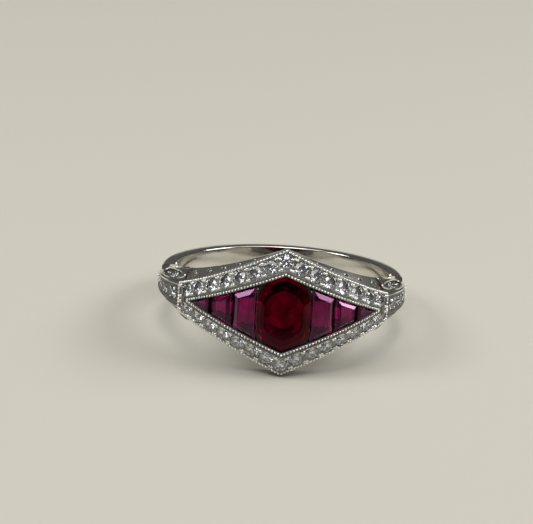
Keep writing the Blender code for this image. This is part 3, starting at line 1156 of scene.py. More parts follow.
@dataclass(frozen=True)
class Shank:
    """Plain band round the back of the finger.

    Attributes:
        inner: radius of the finger hole.
        outer: outer radius.
        half_width: half of its width along the finger.
        outer_round: fillet of the outer corners.
        inner_round: fillet of the inner corners.
        start: angle at which it begins on either side, in degrees.
        fillet_steps: steps round each corner.
        steps: sections along the band.
    """

    inner: float = 8.5
    outer: float = 9.6
    half_width: float = 1.08
    outer_round: float = 0.20
    inner_round: float = 0.12
    start: float = 90.0
    fillet_steps: int = 5
    steps: int = 180

    def section(self) -> list:
        """Outline of the band with its rounded corners.

        Returns:
            (radius, z) pairs in order round the section.
        """
        points = []
        corners = (
            (self.outer, 1, self.outer_round, 0.0), (self.inner, 1, self.inner_round, 90.0),
            (self.inner, -1, self.inner_round, 180.0), (self.outer, -1, self.outer_round, 270.0),
        )
        for radius, half, fillet, first in corners:
            middle_r = radius - fillet if radius == self.outer else radius + fillet
            middle_z = half * (self.half_width - fillet)
            for step in range(self.fillet_steps + 1):
                turn = math.radians(first + 90.0 * step / self.fillet_steps)
                points.append((middle_r + fillet * math.cos(turn), middle_z + fillet * math.sin(turn)))
        return points

    def build(self, bench: Workbench) -> None:
        """Make the band.

        Args:
            bench: shared finishes and repeats.
        """
        angles = np.radians(np.linspace(self.start, 360.0 - self.start, self.steps))
        profile = self.section()
        sections = [[around(angle, r, z) for r, z in profile] for angle in angles]
        enlist(Blank().loft(sections).finish("shank_band", bench.polished), Finish.PLATINUM, "shank")


@dataclass(frozen=True)
class Shoulder:
    """Set shoulder between the head and the shank.

    A pair of sizes gives one at the head and one at the shank. Angles are in degrees.

    Attributes:
        name: left or right.
        start: angle at the head.
        end: angle at the shank.
        radius: of the outer face.
        face: half width of the outer face.
        groove: half width of its groove.
        foot: half width at the finger.
        foot_curve: how fast the foot narrows.
        foot_radius: where the cheeks begin.
        finger: radius of the finger hole.
        ease: small bevel of the foot's edges.
        inner_round: rounding of the foot at the finger.
        cheek_drop: how far below the face the cheeks end.
        groove_depth: depth of the groove.
        run_out: how far the face drops to meet the shank.
        run_out_angle: angle over which it drops.
        leaf_angle: middle of the leaf on each cheek.
        leaf_length: length of the leaf.
        leaf_width: width of the leaf.
        leaf_depth: depth of its recess.
        leaf_taper: how pointed the leaf's ends are.
        leaf_radius: distance from the finger's axis at which its length is measured.
        leaf_steps: points along each side of the leaf.
        rim_wire: radius of the wire round the leaf.
        rail_wire: radius of the wire on each edge of the face.
        foot_wire: radius of the wire along the foot.
        wire_ends: how far the wires stop short of the head and of the shank.
        sink_angle: angle over which the wires sink into the end.
        foot_sink: how deep the foot's wire sinks there.
        rail_sink: how deep the face's wires sink there.
        bead_setback: angle between the bead row and the shank.
        bead_reach: half length of the bead row.
        bead: radius of its beads.
        bead_pitch: distance between its beads.
        finial_angle: place of the turned point on each cheek.
        finial_drop: how far in from the cheek's foot it stands.
        finial: its turned profile, as (radius, height) pairs.
        grain: radius of a full grain.
        groove_grains: place of the four grains at a groove's diamond, along and across the groove, as
            shares of its diameter, and their size to each millimetre of it.
        leaf_grains: number of grains in a row beside a leaf's diamond.
        leaf_grain_angles: angle from the leaf's middle to the first of them, and between two.
        leaf_grain_sizes: size of the first of them, and how much smaller each next one is.
        ring_grains: number of grains round a leaf's diamond.
        ring_grain: their size.
        groove_grime_and_shade: depths in the groove at which the metal starts and ends to darken with painted
            shade and grime.
        leaf_grime_and_shade: the same for the leaf.
        steps: sections from the head to the shank.
    """

    name: str
    start: float = 54.3
    end: float = 90.0
    radius: tuple = (10.0, 9.84)
    face: tuple = (0.95, 0.58)
    groove: tuple = (0.62, 0.38)
    foot: tuple = (2.08, 1.08)
    foot_curve: float = 1.25
    foot_radius: float = 8.95
    finger: float = 8.5
    ease: float = 0.03
    inner_round: float = 0.10
    cheek_drop: float = 0.10
    groove_depth: float = 0.16
    run_out: float = 0.22
    run_out_angle: float = 3.2
    leaf_angle: float = 68.3
    leaf_length: float = 4.4
    leaf_width: float = 0.80
    leaf_depth: float = 0.17
    leaf_taper: float = 1.3
    leaf_radius: float = 9.4
    leaf_steps: int = 12
    rim_wire: float = 0.07
    rail_wire: float = 0.085
    foot_wire: float = 0.085
    wire_ends: tuple = (1.0, 0.6)
    sink_angle: float = 7.0
    foot_sink: float = 0.16
    rail_sink: float = 0.10
    bead_setback: float = 3.3
    bead_reach: float = 0.55
    bead: float = 0.10
    bead_pitch: float = 0.27
    finial_angle: float = 73.0
    finial_drop: float = 0.13
    finial: tuple = (
        (0.0, 0.40), (0.045, 0.36), (0.062, 0.30), (0.10, 0.24), (0.13, 0.16),
        (0.11, 0.08), (0.08, 0.03), (0.15, -0.02), (0.18, -0.12), (0.0, -0.12),
    )
    grain: float = 0.10
    groove_grains: tuple = (0.36, 0.3565, 0.9)
    leaf_grains: int = 4
    leaf_grain_angles: tuple = (3.2, 2.1)
    leaf_grain_sizes: tuple = (0.85, 0.12)
    ring_grains: int = 8
    ring_grain: float = 0.62
    groove_grime_and_shade: tuple = (0.05, 0.15)
    leaf_grime_and_shade: tuple = (0.04, 0.16)
    steps: int = 72

    @property
    def side(self) -> int:
        """-1 for the left shoulder and 1 for the right."""
        return SIDES[self.name]

    def near_end(self, angle: float, over: float) -> float:
        """Share that grows from 0 to 1 over the last `over` degrees before the shank."""
        return clamp((angle - self.end) / over + 1.0) ** 2

    def sizes(self, angle: float) -> tuple:
        """Sizes of the section at an angle.

        Args:
            angle: around the finger, in degrees.

        Returns:
            Radius of the face, and half widths of the face, the groove and the foot.
        """
        blend = max((self.end - angle) / (self.end - self.start), 0.0)
        radius, face, groove = (
            pair[1] + (pair[0] - pair[1]) * blend for pair in (self.radius, self.face, self.groove)
        )
        radius -= self.run_out * self.near_end(angle, self.run_out_angle)
        foot = self.foot[1] + (self.foot[0] - self.foot[1]) * blend ** self.foot_curve
        return radius, face, groove, foot

    def section(self, angle: float) -> list:
        """Half round wires beside the groove, sloped cheeks and an upright foot.

        Args:
            angle: around the finger, in degrees.

        Returns:
            (radius, z) pairs in order round the section.
        """
        radius, face, groove, foot = self.sizes(angle)
        wire = 0.25 * (face - groove)
        upper = [
            (self.finger, foot - self.inner_round), (self.finger + self.ease, foot - self.ease),
            (self.finger + self.inner_round, foot), (self.foot_radius - self.ease, foot),
        ]
        bottom, top = (self.foot_radius, foot - self.ease), (radius - 1.6 * wire, face + 0.01)
        for share in (0.0, 0.25, 0.5, 0.75, 1.0):
            upper.append((bottom[0] + (top[0] - bottom[0]) * share, bottom[1] + (top[1] - bottom[1]) * share))
        for middle in (face - wire, face - 3.0 * wire):
            for step in range(7):
                turn = math.radians(30.0 * step)
                upper.append((radius - wire + wire * math.sin(turn), middle + wire * math.cos(turn)))
        floor = radius - self.groove_depth * (1.0 - self.near_end(angle, self.run_out_angle))
        upper += [(floor + 0.02, groove - 0.01), (floor, groove - 0.04), (floor, 0.5 * groove), (floor, 0.0)]
        return upper + [(r, -z) for r, z in reversed(upper[:-1])]

    def cheek(self, angle: float, share: float, half: int, lift: float = 0.0) -> Vector:
        """Point on a cheek.

        Args:
            angle: around the finger, in degrees.
            share: 0 at the foot, 1 at the face.
            half: 1 for the upper cheek, -1 for the lower.
            lift: how far above the cheek.

        Returns:
            The point in the ring's frame.
        """
        radius, face, _, foot = self.sizes(angle)
        turn = math.radians(angle) * self.side
        low = around(turn, self.foot_radius, half * foot)
        high = around(turn, radius - self.cheek_drop, half * face)
        slope = (high - low).normalized()
        around_way = Vector((math.cos(turn), math.sin(turn), 0.0))
        outward = around_way.cross(slope)
        outward = outward if outward.z * half > 0.0 else -outward
        return low.lerp(high, share) + outward * lift

    def leaf(self, half: int, grow: float, lift: float) -> list:
        """Pointed leaf on a cheek.

        Args:
            half: 1 for the upper cheek, -1 for the lower.
            grow: how much wider than the recess it is on every side.
            lift: how far above the cheek.

        Returns:
            Points of a closed line.
        """
        points = []
        for index in range(2 * self.leaf_steps):
            turn = math.pi * index / self.leaf_steps
            along = math.cos(turn)
            across = math.copysign(abs(math.sin(turn)) ** self.leaf_taper, math.sin(turn))
            reach = along * (0.5 * self.leaf_length + grow)
            angle = self.leaf_angle - math.degrees(reach / self.leaf_radius)
            foot, face = self.cheek(angle, 0.0, half), self.cheek(angle, 1.0, half)
            share = 0.5 + across * (0.5 * self.leaf_width + grow) / (face - foot).length
            points.append(self.cheek(angle, share, half, lift))
        return points

    def build(self, bench: Workbench) -> None:
        """Make the shoulder, its wires, grains, finials and diamonds.

        Args:
            bench: shared finishes and repeats.
        """
        angles = np.linspace(self.start, self.end, self.steps)
        profiles = [self.section(angle) for angle in angles]
        body = Blank().loft([
            [around(self.side * math.radians(angle), r, z) for r, z in profile]
            for angle, profile in zip(angles, profiles)
        ])
        cheek_nodes = {half: f"cheek_diamond_{self.name}_{half}" for half in HALVES}
        groove_nodes = tuple(f"shoulder_diamond_{self.name}_{index}" for index in (1, 2, 3))
        cheeks = {half: Setting.of(node) for half, node in cheek_nodes.items()}
        row = [Setting.of(node) for node in groove_nodes]
        recesses = Blank()
        for half in HALVES.values():
            recesses.loft([self.leaf(half, 0.0, -self.leaf_depth), self.leaf(half, 0.0, 0.3)])
        body = body.cut(recesses).cut(seats([*row, *cheeks.values()]))
        node = f"shoulder_{self.name}"
        made = enlist(body.finish(f"{node}_body", bench.worked), Finish.PLATINUM, node)
        # Painted shade and grime in the groove and in the leaves.
        mark_recess(made, self._depth)
        self._wires(bench)
        self._finials(bench)
        self._grains(bench, row, cheeks)
        Brilliants(f"{node}_diamonds", groove_nodes).build(bench)
        Brilliants(f"cheek_{self.name}_diamonds", tuple(cheek_nodes.values())).build(bench)

    def _depth(self, point: Vector) -> float:
        """Depth of a point in the groove or in a leaf, for the painted shade and grime.

        Args:
            point: a point in the ring's frame.

        Returns:
            0 on the surface and at the finger, 1 at the bottom of a recess.
        """
        radius, face, groove, foot = self.sizes(math.degrees(math.atan2(abs(point.x), -point.y)))
        reach = point.xy.length
        if reach < self.foot_radius:
            return 0.0
        if abs(point.z) < groove:
            return depth_share(radius - reach, self.groove_grime_and_shade)
        share = clamp((reach - self.foot_radius) / (radius - self.cheek_drop - self.foot_radius))
        return depth_share(foot + (face - foot) * share - abs(point.z), self.leaf_grime_and_shade)

    def _rail(self, angle: float, half: int) -> Vector:
        """Point on an outer edge of the face.

        Args:
            angle: around the finger, in degrees.
            half: 1 for the upper edge, -1 for the lower.

        Returns:
            The point in the ring's frame.
        """
        radius, face = self.sizes(angle)[:2]
        reach = radius - self.rail_wire + 0.02 - self.rail_sink * self.near_end(angle, self.sink_angle)
        return around(self.side * math.radians(angle), reach, half * (face - self.rail_wire + 0.03))

    def _wires(self, bench: Workbench) -> None:
        """Wires round the leaves, on the face's edges and along the foot, and a bead row at the shank.

        Args:
            bench: shared finishes and repeats.
        """
        wires = Blank()
        angles = np.linspace(self.start + self.wire_ends[0], self.end - self.wire_ends[1], 40)
        for half in HALVES.values():
            wires.tube(self.leaf(half, 0.04, 0.0), self.rim_wire, closed=True)
            foot = []
            for angle in angles:
                sink = self.foot_sink * self.near_end(angle, self.sink_angle)
                foot.append(self.cheek(angle, -0.02, half, -sink))
            wires.tube(foot, self.foot_wire)
            wires.tube([self._rail(angle, half) for angle in angles], self.rail_wire)
        enlist(wires.finish(f"shoulder_{self.name}_wires", bench.beads), Finish.PLATINUM)
        turn = self.side * math.radians(self.end - self.bead_setback)
        heights = (-self.bead_reach, 0.0, self.bead_reach)
        upright = [around(turn, self.radius[1] - 0.01, z) for z in heights]
        row = bench.milgrain.row(f"shoulder_{self.name}_beads", upright, False, self.bead_pitch, self.bead,
                                 bench.beads, 5)
        enlist(row, Finish.PLATINUM)

    def _finials(self, bench: Workbench) -> None:
        """Small turned point at the foot of each cheek.

        Args:
            bench: shared finishes and repeats.
        """
        finials = Blank()
        turn = self.side * math.radians(self.finial_angle)
        foot = self.sizes(self.finial_angle)[3]
        for half in HALVES.values():
            spot = around(turn, self.foot_radius - self.finial_drop, half * foot)
            place = frame_of(spot, around(turn, 1.0, 0.0), Vector((0.0, 0.0, half)))
            finials.lathe(self.finial, place, 12)
        enlist(finials.finish(f"shoulder_{self.name}_finials", bench.beads, 40.0), Finish.PLATINUM)

    def _grains(self, bench: Workbench, row: Sequence[Setting], cheeks: dict) -> None:
        """Grains beside the groove's diamonds and round those in the leaves.

        Args:
            bench: shared finishes and repeats.
            row: the groove's diamonds.
            cheeks: the diamond of the upper and of the lower leaf.
        """
        spots, sizes = [], []
        along, across, size = self.groove_grains
        for setting in row:
            angle = math.atan2(abs(setting.origin.x), -setting.origin.y)
            reach = setting.origin.xy.length + 0.06
            for step in (-along, along):
                for lean in (-across, across):
                    turned = self.side * (angle + step * setting.diameter / reach)
                    spots.append(around(turned, reach, lean * setting.diameter))
                    sizes.append(size * setting.diameter)
        first, spacing = self.leaf_grain_angles
        largest, step = self.leaf_grain_sizes
        for name, half in HALVES.items():
            place = cheeks[name].place()
            reach = 0.5 * cheeks[name].diameter + 0.03
            for turn in spaced_turns(self.ring_grains):
                spots.append(place @ Vector((reach * math.cos(turn), reach * math.sin(turn), 0.03)))
                sizes.append(self.ring_grain)
            for index in range(self.leaf_grains):
                angle = self.leaf_angle + first + spacing * index
                spots.append(self.cheek(angle, 0.5, half, 0.05 - self.leaf_depth))
                sizes.append(largest - step * index)
        made = bench.grains.set(f"shoulder_{self.name}_grains", spots, sizes, self.grain, bench.beads)
        enlist(made, Finish.PLATINUM)


@dataclass(frozen=True)
class Border:
    """Sloping plate round the rubies with its row of diamonds, grains and milgrain edge.

    Attributes:
        stones_per_quarter: diamonds on each of the four sides.
        rim: width of the inner lip.
        trough: depth of the trough that holds the diamonds.
        brim: width of the raised outer edge.
        wall: height of the outer wall.
        inner_depth: depth of the plate at the rubies.
        bead: radius of the milgrain beads.
        pitch: distance between them.
        edge_inset: how far in from the outer edge they run.
        grain: radius of a full grain.
        grain_across: grains' distance from the row's middle line, as a share of a diamond's width.
        grain_apart: distance between two grains that share a gap.
        grain_sizes: sizes of these two.
        middle: shares across the plate where its lip, darkened by painted shade and grime, ends and its outer
            edge, darkened the same way, begins.
        grime_and_shade: depths at which the metal starts and ends to darken with painted shade and grime.
        inside: depth from which it is the clean inside of the head, with only light painted shade.
    """

    stones_per_quarter: int = 7
    rim: float = 0.10
    trough: float = 0.07
    brim: float = 0.30
    wall: float = 0.50
    inner_depth: float = 0.75
    bead: float = 0.118
    pitch: float = 0.268
    edge_inset: float = 0.14
    grain: float = 0.15
    grain_across: float = 0.40
    grain_apart: float = 0.19
    grain_sizes: tuple = (0.72, 0.94)
    middle: tuple = (0.08, 0.86)
    grime_and_shade: tuple = (0.03, 0.12)
    inside: float = 0.42

    def section(self, station: tuple) -> list:
        """Trough between a narrow inner lip and the outer edge, with a plain wall below.

        Args:
            station: fraction, side and half of the place round the head.

        Returns:
            Points in order round the section.
        """
        inner, outer = PLAN.border_inner.point(*station), PLAN.border_outer.point(*station)
        width = (outer - inner).length
        shares = [
            (0.0, 0.02), (0.04 / width, 0.0), (self.rim / width, 0.0),
            ((self.rim + 0.05) / width, self.trough), (0.35, self.trough), (0.65, self.trough),
            (1.0 - self.brim / width, self.trough), (1.0 - (self.brim - 0.05) / width, 0.03),
            (1.0 - 0.05 / width, 0.03), (1.0, 0.08), (1.0, 0.5 * self.wall - 0.03),
            (1.0 + 0.05 / width, 0.5 * self.wall), (1.0, 0.5 * self.wall + 0.05),
            (1.0, self.wall - 0.04), (1.0 - 0.04 / width, self.wall),
        ]
        points = [
            PLAN.between(PLAN.border_inner, PLAN.border_outer, share, station, depth)
            for share, depth in shares
        ]
        return points + [PLAN.border_inner.point(*station, self.inner_depth)]

    def node_names(self, half: str) -> list:
        """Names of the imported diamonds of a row.

        Args:
            half: upper or lower.

        Returns:
            The names from left to right.
        """
        count = self.stones_per_quarter
        left = [f"border_diamond_{half}_left_{index}" for index in range(count, 0, -1)]
        right = [f"border_diamond_{half}_right_{index}" for index in range(1, count + 1)]
        return [*left, f"border_diamond_{half}_point", *right]

    def build(self, bench: Workbench) -> None:
        """Make the plate, its diamonds, grains and milgrain.

        Args:
            bench: shared finishes and repeats.
        """
        rows = {half: [Setting.of(name) for name in self.node_names(half)] for half in HALVES}
        stations = head_stations()
        plate = Blank().loft([self.section(station) for station in stations], closed=True)
        plate = plate.cut(seats([setting for row in rows.values() for setting in row]))
        made = enlist(plate.finish("border_setting", bench.worked), Finish.PLATINUM, "border_plate")
        # Painted shade and grime on the lip, the outer edge and in the seats; light painted shade inside the
        # head.
        mark_recess(made, self._depth)
        edge = []
        for station in stations:
            inner, outer = PLAN.border_inner.point(*station), PLAN.border_outer.point(*station)
            edge.append(inner.lerp(outer, 1.0 - self.edge_inset / (outer - inner).length))
        beads = bench.milgrain.row("border_milgrain", edge, True, self.pitch, self.bead, bench.beads, 3)
        enlist(beads, Finish.PLATINUM)
        spots, sizes = [], []
        for row in rows.values():
            self._grains(row, spots, sizes)
        grains = bench.grains.set("border_grains", spots, sizes, self.grain, bench.beads)
        enlist(grains, Finish.PLATINUM)
        for half in HALVES:
            Brilliants(f"border_{half}_diamonds", tuple(self.node_names(half))).build(bench)

    def _grains(self, row: Sequence[Setting], spots: list, sizes: list) -> None:
        """Two shared grains on either side of each gap between diamonds, and at both ends.

        Args:
            row: the diamonds from left to right.
            spots: list that the grains' places are added to.
            sizes: list that their sizes are added to.
        """
        first = Setting(row[0].origin * 2 - row[1].origin, row[0].outward, row[0].diameter)
        last = Setting(row[-1].origin * 2 - row[-2].origin, row[-1].outward, row[-1].diameter)
        for one, other in zip([first, *row], [*row, last]):
            middle = (one.origin + other.origin) / 2
            outward = (one.outward + other.outward).normalized()
            along = (other.origin - one.origin).normalized()
            across = outward.cross(other.origin - one.origin).normalized()
            reach = self.grain_across * 0.5 * (one.diameter + other.diameter)
            for way in (-1.0, 1.0):
                for lean, size in zip((-0.5, 0.5), self.grain_sizes):
                    spot = middle + across * (reach * way) + along * (lean * self.grain_apart)
                    spots.append(spot + outward * 0.06)
                    sizes.append(size)

    def _depth(self, point: Vector) -> float:
        """Depth of a point in the trough or in a seat, for the painted shade and grime.

        Args:
            point: a point in the ring's frame.

        Returns:
            0 on the surface, 1 deep in a seat.
        """
        inner, outer = PLAN.border_inner, PLAN.border_outer
        along = abs(point.x)
        lip, brim = (outline.height * (1.0 - along / outline.length) for outline in (inner, outer))
        share = clamp((abs(point.z) - lip) / max(brim - lip, 0.01))
        if not self.middle[0] < share < self.middle[1]:
            return BESIDE_BEADS
        outer_radius = outer.mid_radius + (outer.end_radius - outer.mid_radius) * along / outer.clip
        depth = inner.mid_radius + (outer_radius - inner.mid_radius) * share - point.xy.length
        return INSIDE_HEAD if depth > self.inside else depth_share(depth, self.grime_and_shade)


@dataclass(frozen=True)
class RubyChannel:
    """Wall round the rubies with its milgrain, and the near-black ledge that carries them, painted shade.

    Attributes:
        depth: height of the wall.
        lip: depth of its crest below the stones' edge.
        bead: radius of the milgrain beads.
        pitch: distance between them.
        ledge_depth: depth of the ledge's top.
        ledge_thickness: thickness of the ledge.
        bar: half width of the bars under the seams between the stones.
        bar_depth: depths of the bars' tops and bottoms.
        collar: depths of the top and bottom of the plate round the middle stone.
        collar_inner: inner edge of this plate, as a share of the stone's outline.
        grime_and_shade_radius: distance from the finger's axis from which the wall takes strong painted shade
            and grime.
    """

    depth: float = 1.45
    lip: float = 0.04
    bead: float = 0.100
    pitch: float = 0.258
    ledge_depth: float = 0.62
    ledge_thickness: float = 0.10
    bar: float = 0.05
    bar_depth: tuple = (0.45, 0.90)
    collar: tuple = (0.14, 0.26)
    collar_inner: float = 0.965
    grime_and_shade_radius: float = 10.2

    def build(self, bench: Workbench) -> None:
        """Make the wall, its ledge and its beads.

        Args:
            bench: shared finishes and repeats.
        """
        stations = head_stations()
        sections, line = [], []
        for station in stations:
            stone = [PLAN.stone_edge.point(*station, depth) for depth in (self.depth, self.lip + 0.03)]
            wall = [PLAN.channel_edge.point(*station, depth) for depth in (self.lip + 0.03, self.depth)]
            crest = [PLAN.between(PLAN.stone_edge, PLAN.channel_edge, share, station, self.lip)
                     for share in (0.2, 0.5, 0.8)]
            sections.append([*stone, *crest, *wall])
            line.append(crest[1])
        made = enlist(Blank().loft(sections, closed=True).finish("channel_wall", bench.worked),
                      Finish.PLATINUM, "ruby_channel")
        # Painted shade and grime on the wall's crest beside the milgrain, light painted shade inside the
        # head.
        mark_recess(made, self._depth)
        row = bench.milgrain.row("channel_milgrain", line, True, self.pitch, self.bead, bench.beads, 11)
        enlist(row, Finish.PLATINUM)
        # The bed is near-black metal: painted shade under the rubies, in their seams and in the corners round
        # the middle stone.
        enlist(self._bed().finish("ruby_bed", bench.painted_shadow), Finish.PLATINUM)

    def _bed(self) -> Blank:
        """Narrow ledge inside the wall, bars under the seams and the plate round the middle stone, which
        carry the painted shade under the rubies.

        Returns:
            The bed as one blank.
        """
        edge, radius = PLAN.stone_edge, PLAN.stone_edge.mid_radius
        top, bottom = self.ledge_depth, self.ledge_depth + self.ledge_thickness
        sections = []
        for station in head_stations():
            wall = [edge.point(*station, depth) for depth in (top, bottom)]
            sections.append([*wall, *(PLAN.ledge_edge.point(*station, depth) for depth in (bottom, top))])
        bed = Blank().loft(sections, closed=True)
        top, bottom = self.bar_depth
        corners = ((-self.bar, top), (self.bar, top), (self.bar, bottom), (-self.bar, bottom))
        for seam in Rubies().edges[:-1]:
            height = edge.height * (1.0 - seam / edge.length) - 0.02
            for side in SIDES.values():
                bed.loft([
                    [around(side * math.asin((seam + x) / radius), radius - depth, share * height)
                     for x, depth in corners]
                    for share in (-1.0, 1.0)
                ])
        return bed.loft(self._collar(), closed=True)

    def _collar(self) -> list:
        """Plate that fills the corners between the middle ruby and the wall, a dark sheet of painted shade.

        Returns:
            Its sections, in order round the stone.
        """
        rubies = Rubies()
        place = rubies.place(0.0)
        edge, side = PLAN.stone_edge, rubies.edges[0]
        top, bottom = self.collar
        sections = []
        for x, y in rubies.barrel():
            slope = abs(y) + abs(x) * edge.height / edge.length
            grow = max(min(side / max(abs(x), 0.01), edge.height / slope), 1.0)
            near, far = (self.collar_inner * x, self.collar_inner * y), (grow * x, grow * y)
            corners = ((*near, -top), (*far, -top), (*far, -bottom), (*near, -bottom))
            sections.append([place @ Vector(corner) for corner in corners])
        return sections

    def _depth(self, point: Vector) -> float:
        """Painted shade and grime at a point of the wall: strong at its crest, weak inside the head."""
        return BESIDE_BEADS if point.xy.length > self.grime_and_shade_radius else INSIDE_HEAD


@dataclass(frozen=True)
class UnderGallery:
    """Rail that meets the finger and the pierced walls between it and the border.

    Attributes:
        rail_depth: thickness of the rail.
        rail_ease: rounding of its edges.
        gap: seam between a wall and its neighbours.
        border_wall: height of the border's own wall.
        piercings: round openings on each side of a wall.
        first: place of the opening nearest the point, as a fraction of the way round.
        last: place of the furthest one.
        fill: width of an opening as a share of the wall's height.
        collet: radius of the wire ring round an opening, as a share of the opening's radius.
        collet_wire: radius of its wire, as a share of the ring's radius.
        bulge: how far the walls stand out at half height.
        reach: how far the walls go towards a clipped end's corner, as a share.
        shade: painted shade and grime on the walls.
        steps: sections on each side of a wall.
    """

    rail_depth: float = 0.35
    rail_ease: float = 0.08
    gap: float = 0.02
    border_wall: float = 0.50
    piercings: int = 5
    first: float = 0.30
    last: float = 0.84
    fill: float = 0.62
    collet: float = 1.12
    collet_wire: float = 0.16
    bulge: float = 0.02
    reach: float = 0.985
    shade: float = 0.1
    steps: int = 44

    def build(self, bench: Workbench) -> None:
        """Make the rail and both walls.

        Args:
            bench: shared finishes and repeats.
        """
        ease, depth = self.rail_ease, self.rail_depth
        profile = (
            (0.0, ease), (0.12, 0.01), (0.5, 0.0), (0.88, 0.01), (1.0, ease),
            (1.0, depth - ease), (0.88, depth), (0.12, depth), (0.0, depth - ease),
        )
        sections = [
            [
                PLAN.between(PLAN.rail_inner, PLAN.rail_outer, share, station, below)
                for share, below in profile
            ]
            for station in head_stations()
        ]
        rail = Blank().loft(sections, closed=True).finish("finger_rail_loop", bench.polished)
        enlist(rail, Finish.PLATINUM, "finger_rail")
        for name, half in HALVES.items():
            self._wall(bench, name, half)

    def _wall(self, bench: Workbench, name: str, half: int) -> None:
        """Make one wall with its openings and the rings round them.

        Args:
            bench: shared finishes and repeats.
            name: upper or lower.
            half: 1 for the upper wall, -1 for the lower.
        """
        reach = self.reach * CORNER
        sections = []
        for position in np.linspace(-reach, reach, 2 * self.steps + 1):
            station = (abs(position), 1 if position >= 0.0 else -1, half)
            foot = PLAN.rail_outer.point(*station, -self.gap)
            top = PLAN.border_outer.point(*station, self.border_wall + self.gap)
            inner_top = PLAN.wall_inner.point(*station, self.border_wall + self.gap)
            inner_foot = PLAN.rail_inner.point(*station, -self.gap)
            middle = (foot + top) / 2 + (foot - inner_foot).normalized() * self.bulge
            sections.append([foot, middle, top, inner_top, inner_foot])
        openings, places, sizes = Blank(), [], []
        for fraction in np.linspace(self.first, self.last, self.piercings):
            for side in SIDES.values():
                foot = PLAN.rail_outer.point(fraction, side, half)
                top = PLAN.border_outer.point(fraction, side, half, self.border_wall)
                radius = 0.5 * self.fill * (top.xy.length - foot.xy.length - 2.0 * self.gap)
                middle = (foot + top) / 2
                along = PLAN.rail_outer.point(fraction + 0.01, side, half) - foot
                facing = (top - foot).cross(along)
                facing = facing if facing.z * half > 0.0 else -facing
                drill = frame_of(middle, Vector((1.0, 0.0, 0.0)), Vector((0.0, 0.0, half)))
                openings.lathe([(0.0, 1.5), (radius, 1.5), (radius, -1.5), (0.0, -1.5)], drill, 24)
                places.append(frame_of(middle + facing.normalized() * 0.03, along, facing))
                sizes.append(self.collet * radius)
        node = f"gallery_{name}"
        wall = Blank().loft(sections).cut(openings).finish(f"{node}_wall", bench.worked)
        enlist(wall, Finish.PLATINUM, node)
        # Light painted shade and grime over the whole wall.
        mark_recess(wall, lambda point: self.shade)
        rings = bench.collets.set(f"{node}_collets", places, sizes, self.collet_wire, bench.beads)
        enlist(rings, Finish.PLATINUM)


@dataclass(frozen=True)
class Brilliants:
    """Brilliant-cut diamonds in place of packed ones. Sizes are shares of a stone's diameter.

    Attributes:
        name: the piece's name.
        nodes: packed diamonds that it stands for.
        table: width of the table.
        crown: height of the crown.
        girdle: thickness of the girdle.
        pavilion: depth of the pavilion.
        star: distance of the star facets' corners from the middle.
        lower: distance of the lower halves' corners from the middle.
        grow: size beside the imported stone's.
        turn: turn from each stone to the next, in radians.
    """

    name: str
    nodes: tuple
    table: float = 0.56
    crown: float = 0.15
    girdle: float = 0.03
    pavilion: float = 0.42
    star: float = 0.39
    lower: float = 0.12
    grow: float = 1.02
    turn: float = 2.4

    @staticmethod
    def circle(count: int, first: float, radius: float, height: float) -> list:
        """Evenly spaced corners.

        Args:
            count: how many.
            first: angle of the first, in radians.
            radius: distance from the stone's axis.
            height: above the middle of the girdle.

        Returns:
            The corners.
        """
        turns = [first + turn for turn in spaced_turns(count)]
        return [Vector((radius * math.cos(t), radius * math.sin(t), height)) for t in turns]

    def corners(self) -> list:
        """Corners of a stone 1 mm across.

        Returns:
            8 of the table, 8 of the stars, 16 each of the girdle's top and bottom, 8 of the lower
            halves, and the culet.
        """
        half, table = 0.5 * self.girdle, 0.5 * self.table
        eighth = math.pi / 8.0
        crown_slope = self.crown / (0.5 - table)
        star_height = half + self.crown - (self.star * math.cos(eighth) - table) * crown_slope
        lower_height = self.lower * math.cos(eighth) * self.pavilion / 0.5 - half - self.pavilion
        return [
            *self.circle(8, 0.0, table, half + self.crown), *self.circle(8, eighth, self.star, star_height),
            *self.circle(16, 0.0, 0.5, half), *self.circle(16, 0.0, 0.5, -half),
            *self.circle(8, eighth, self.lower, lower_height), Vector((0.0, 0.0, -half - self.pavilion)),
        ]

    @staticmethod
    def facets() -> list:
        """Facets of a stone.

        Returns:
            For each facet, the numbers of its corners.
        """
        faces = [tuple(range(8))]
        for k in range(8):
            after, before = (k + 1) % 8, (k - 1) % 8
            top, star, low = k, 8 + k, 48 + k
            girdle = [16 + (2 * k + step) % 16 for step in range(3)]
            under = [32 + (2 * k + step) % 16 for step in range(3)]
            faces += [(top, 8 + before, girdle[0], star), (top, star, after)]
            faces += [(star, girdle[0], girdle[1]), (star, girdle[1], girdle[2])]
            faces += [(girdle[0], under[0], under[1], girdle[1]), (girdle[1], under[1], under[2], girdle[2])]
            faces += [(low, under[1], under[0]), (low, under[2], under[1])]
            faces.append((56, low, under[0], 48 + before))
        return faces

    def build(self, bench: Workbench) -> None:
        """Make the stones, each turned its own way.

        Args:
            bench: shared finishes and repeats.
        """
        stones = Blank()
        for index, node in enumerate(self.nodes):
            setting = Setting.of(node)
            place = setting.place(self.turn * index) @ Matrix.Scale(self.grow * setting.diameter, 4)
            stones.solid([place @ corner for corner in self.corners()], self.facets())
        enlist(stones.finish(self.name, bench.diamond, 0.0), Finish.DIAMOND, *self.nodes)


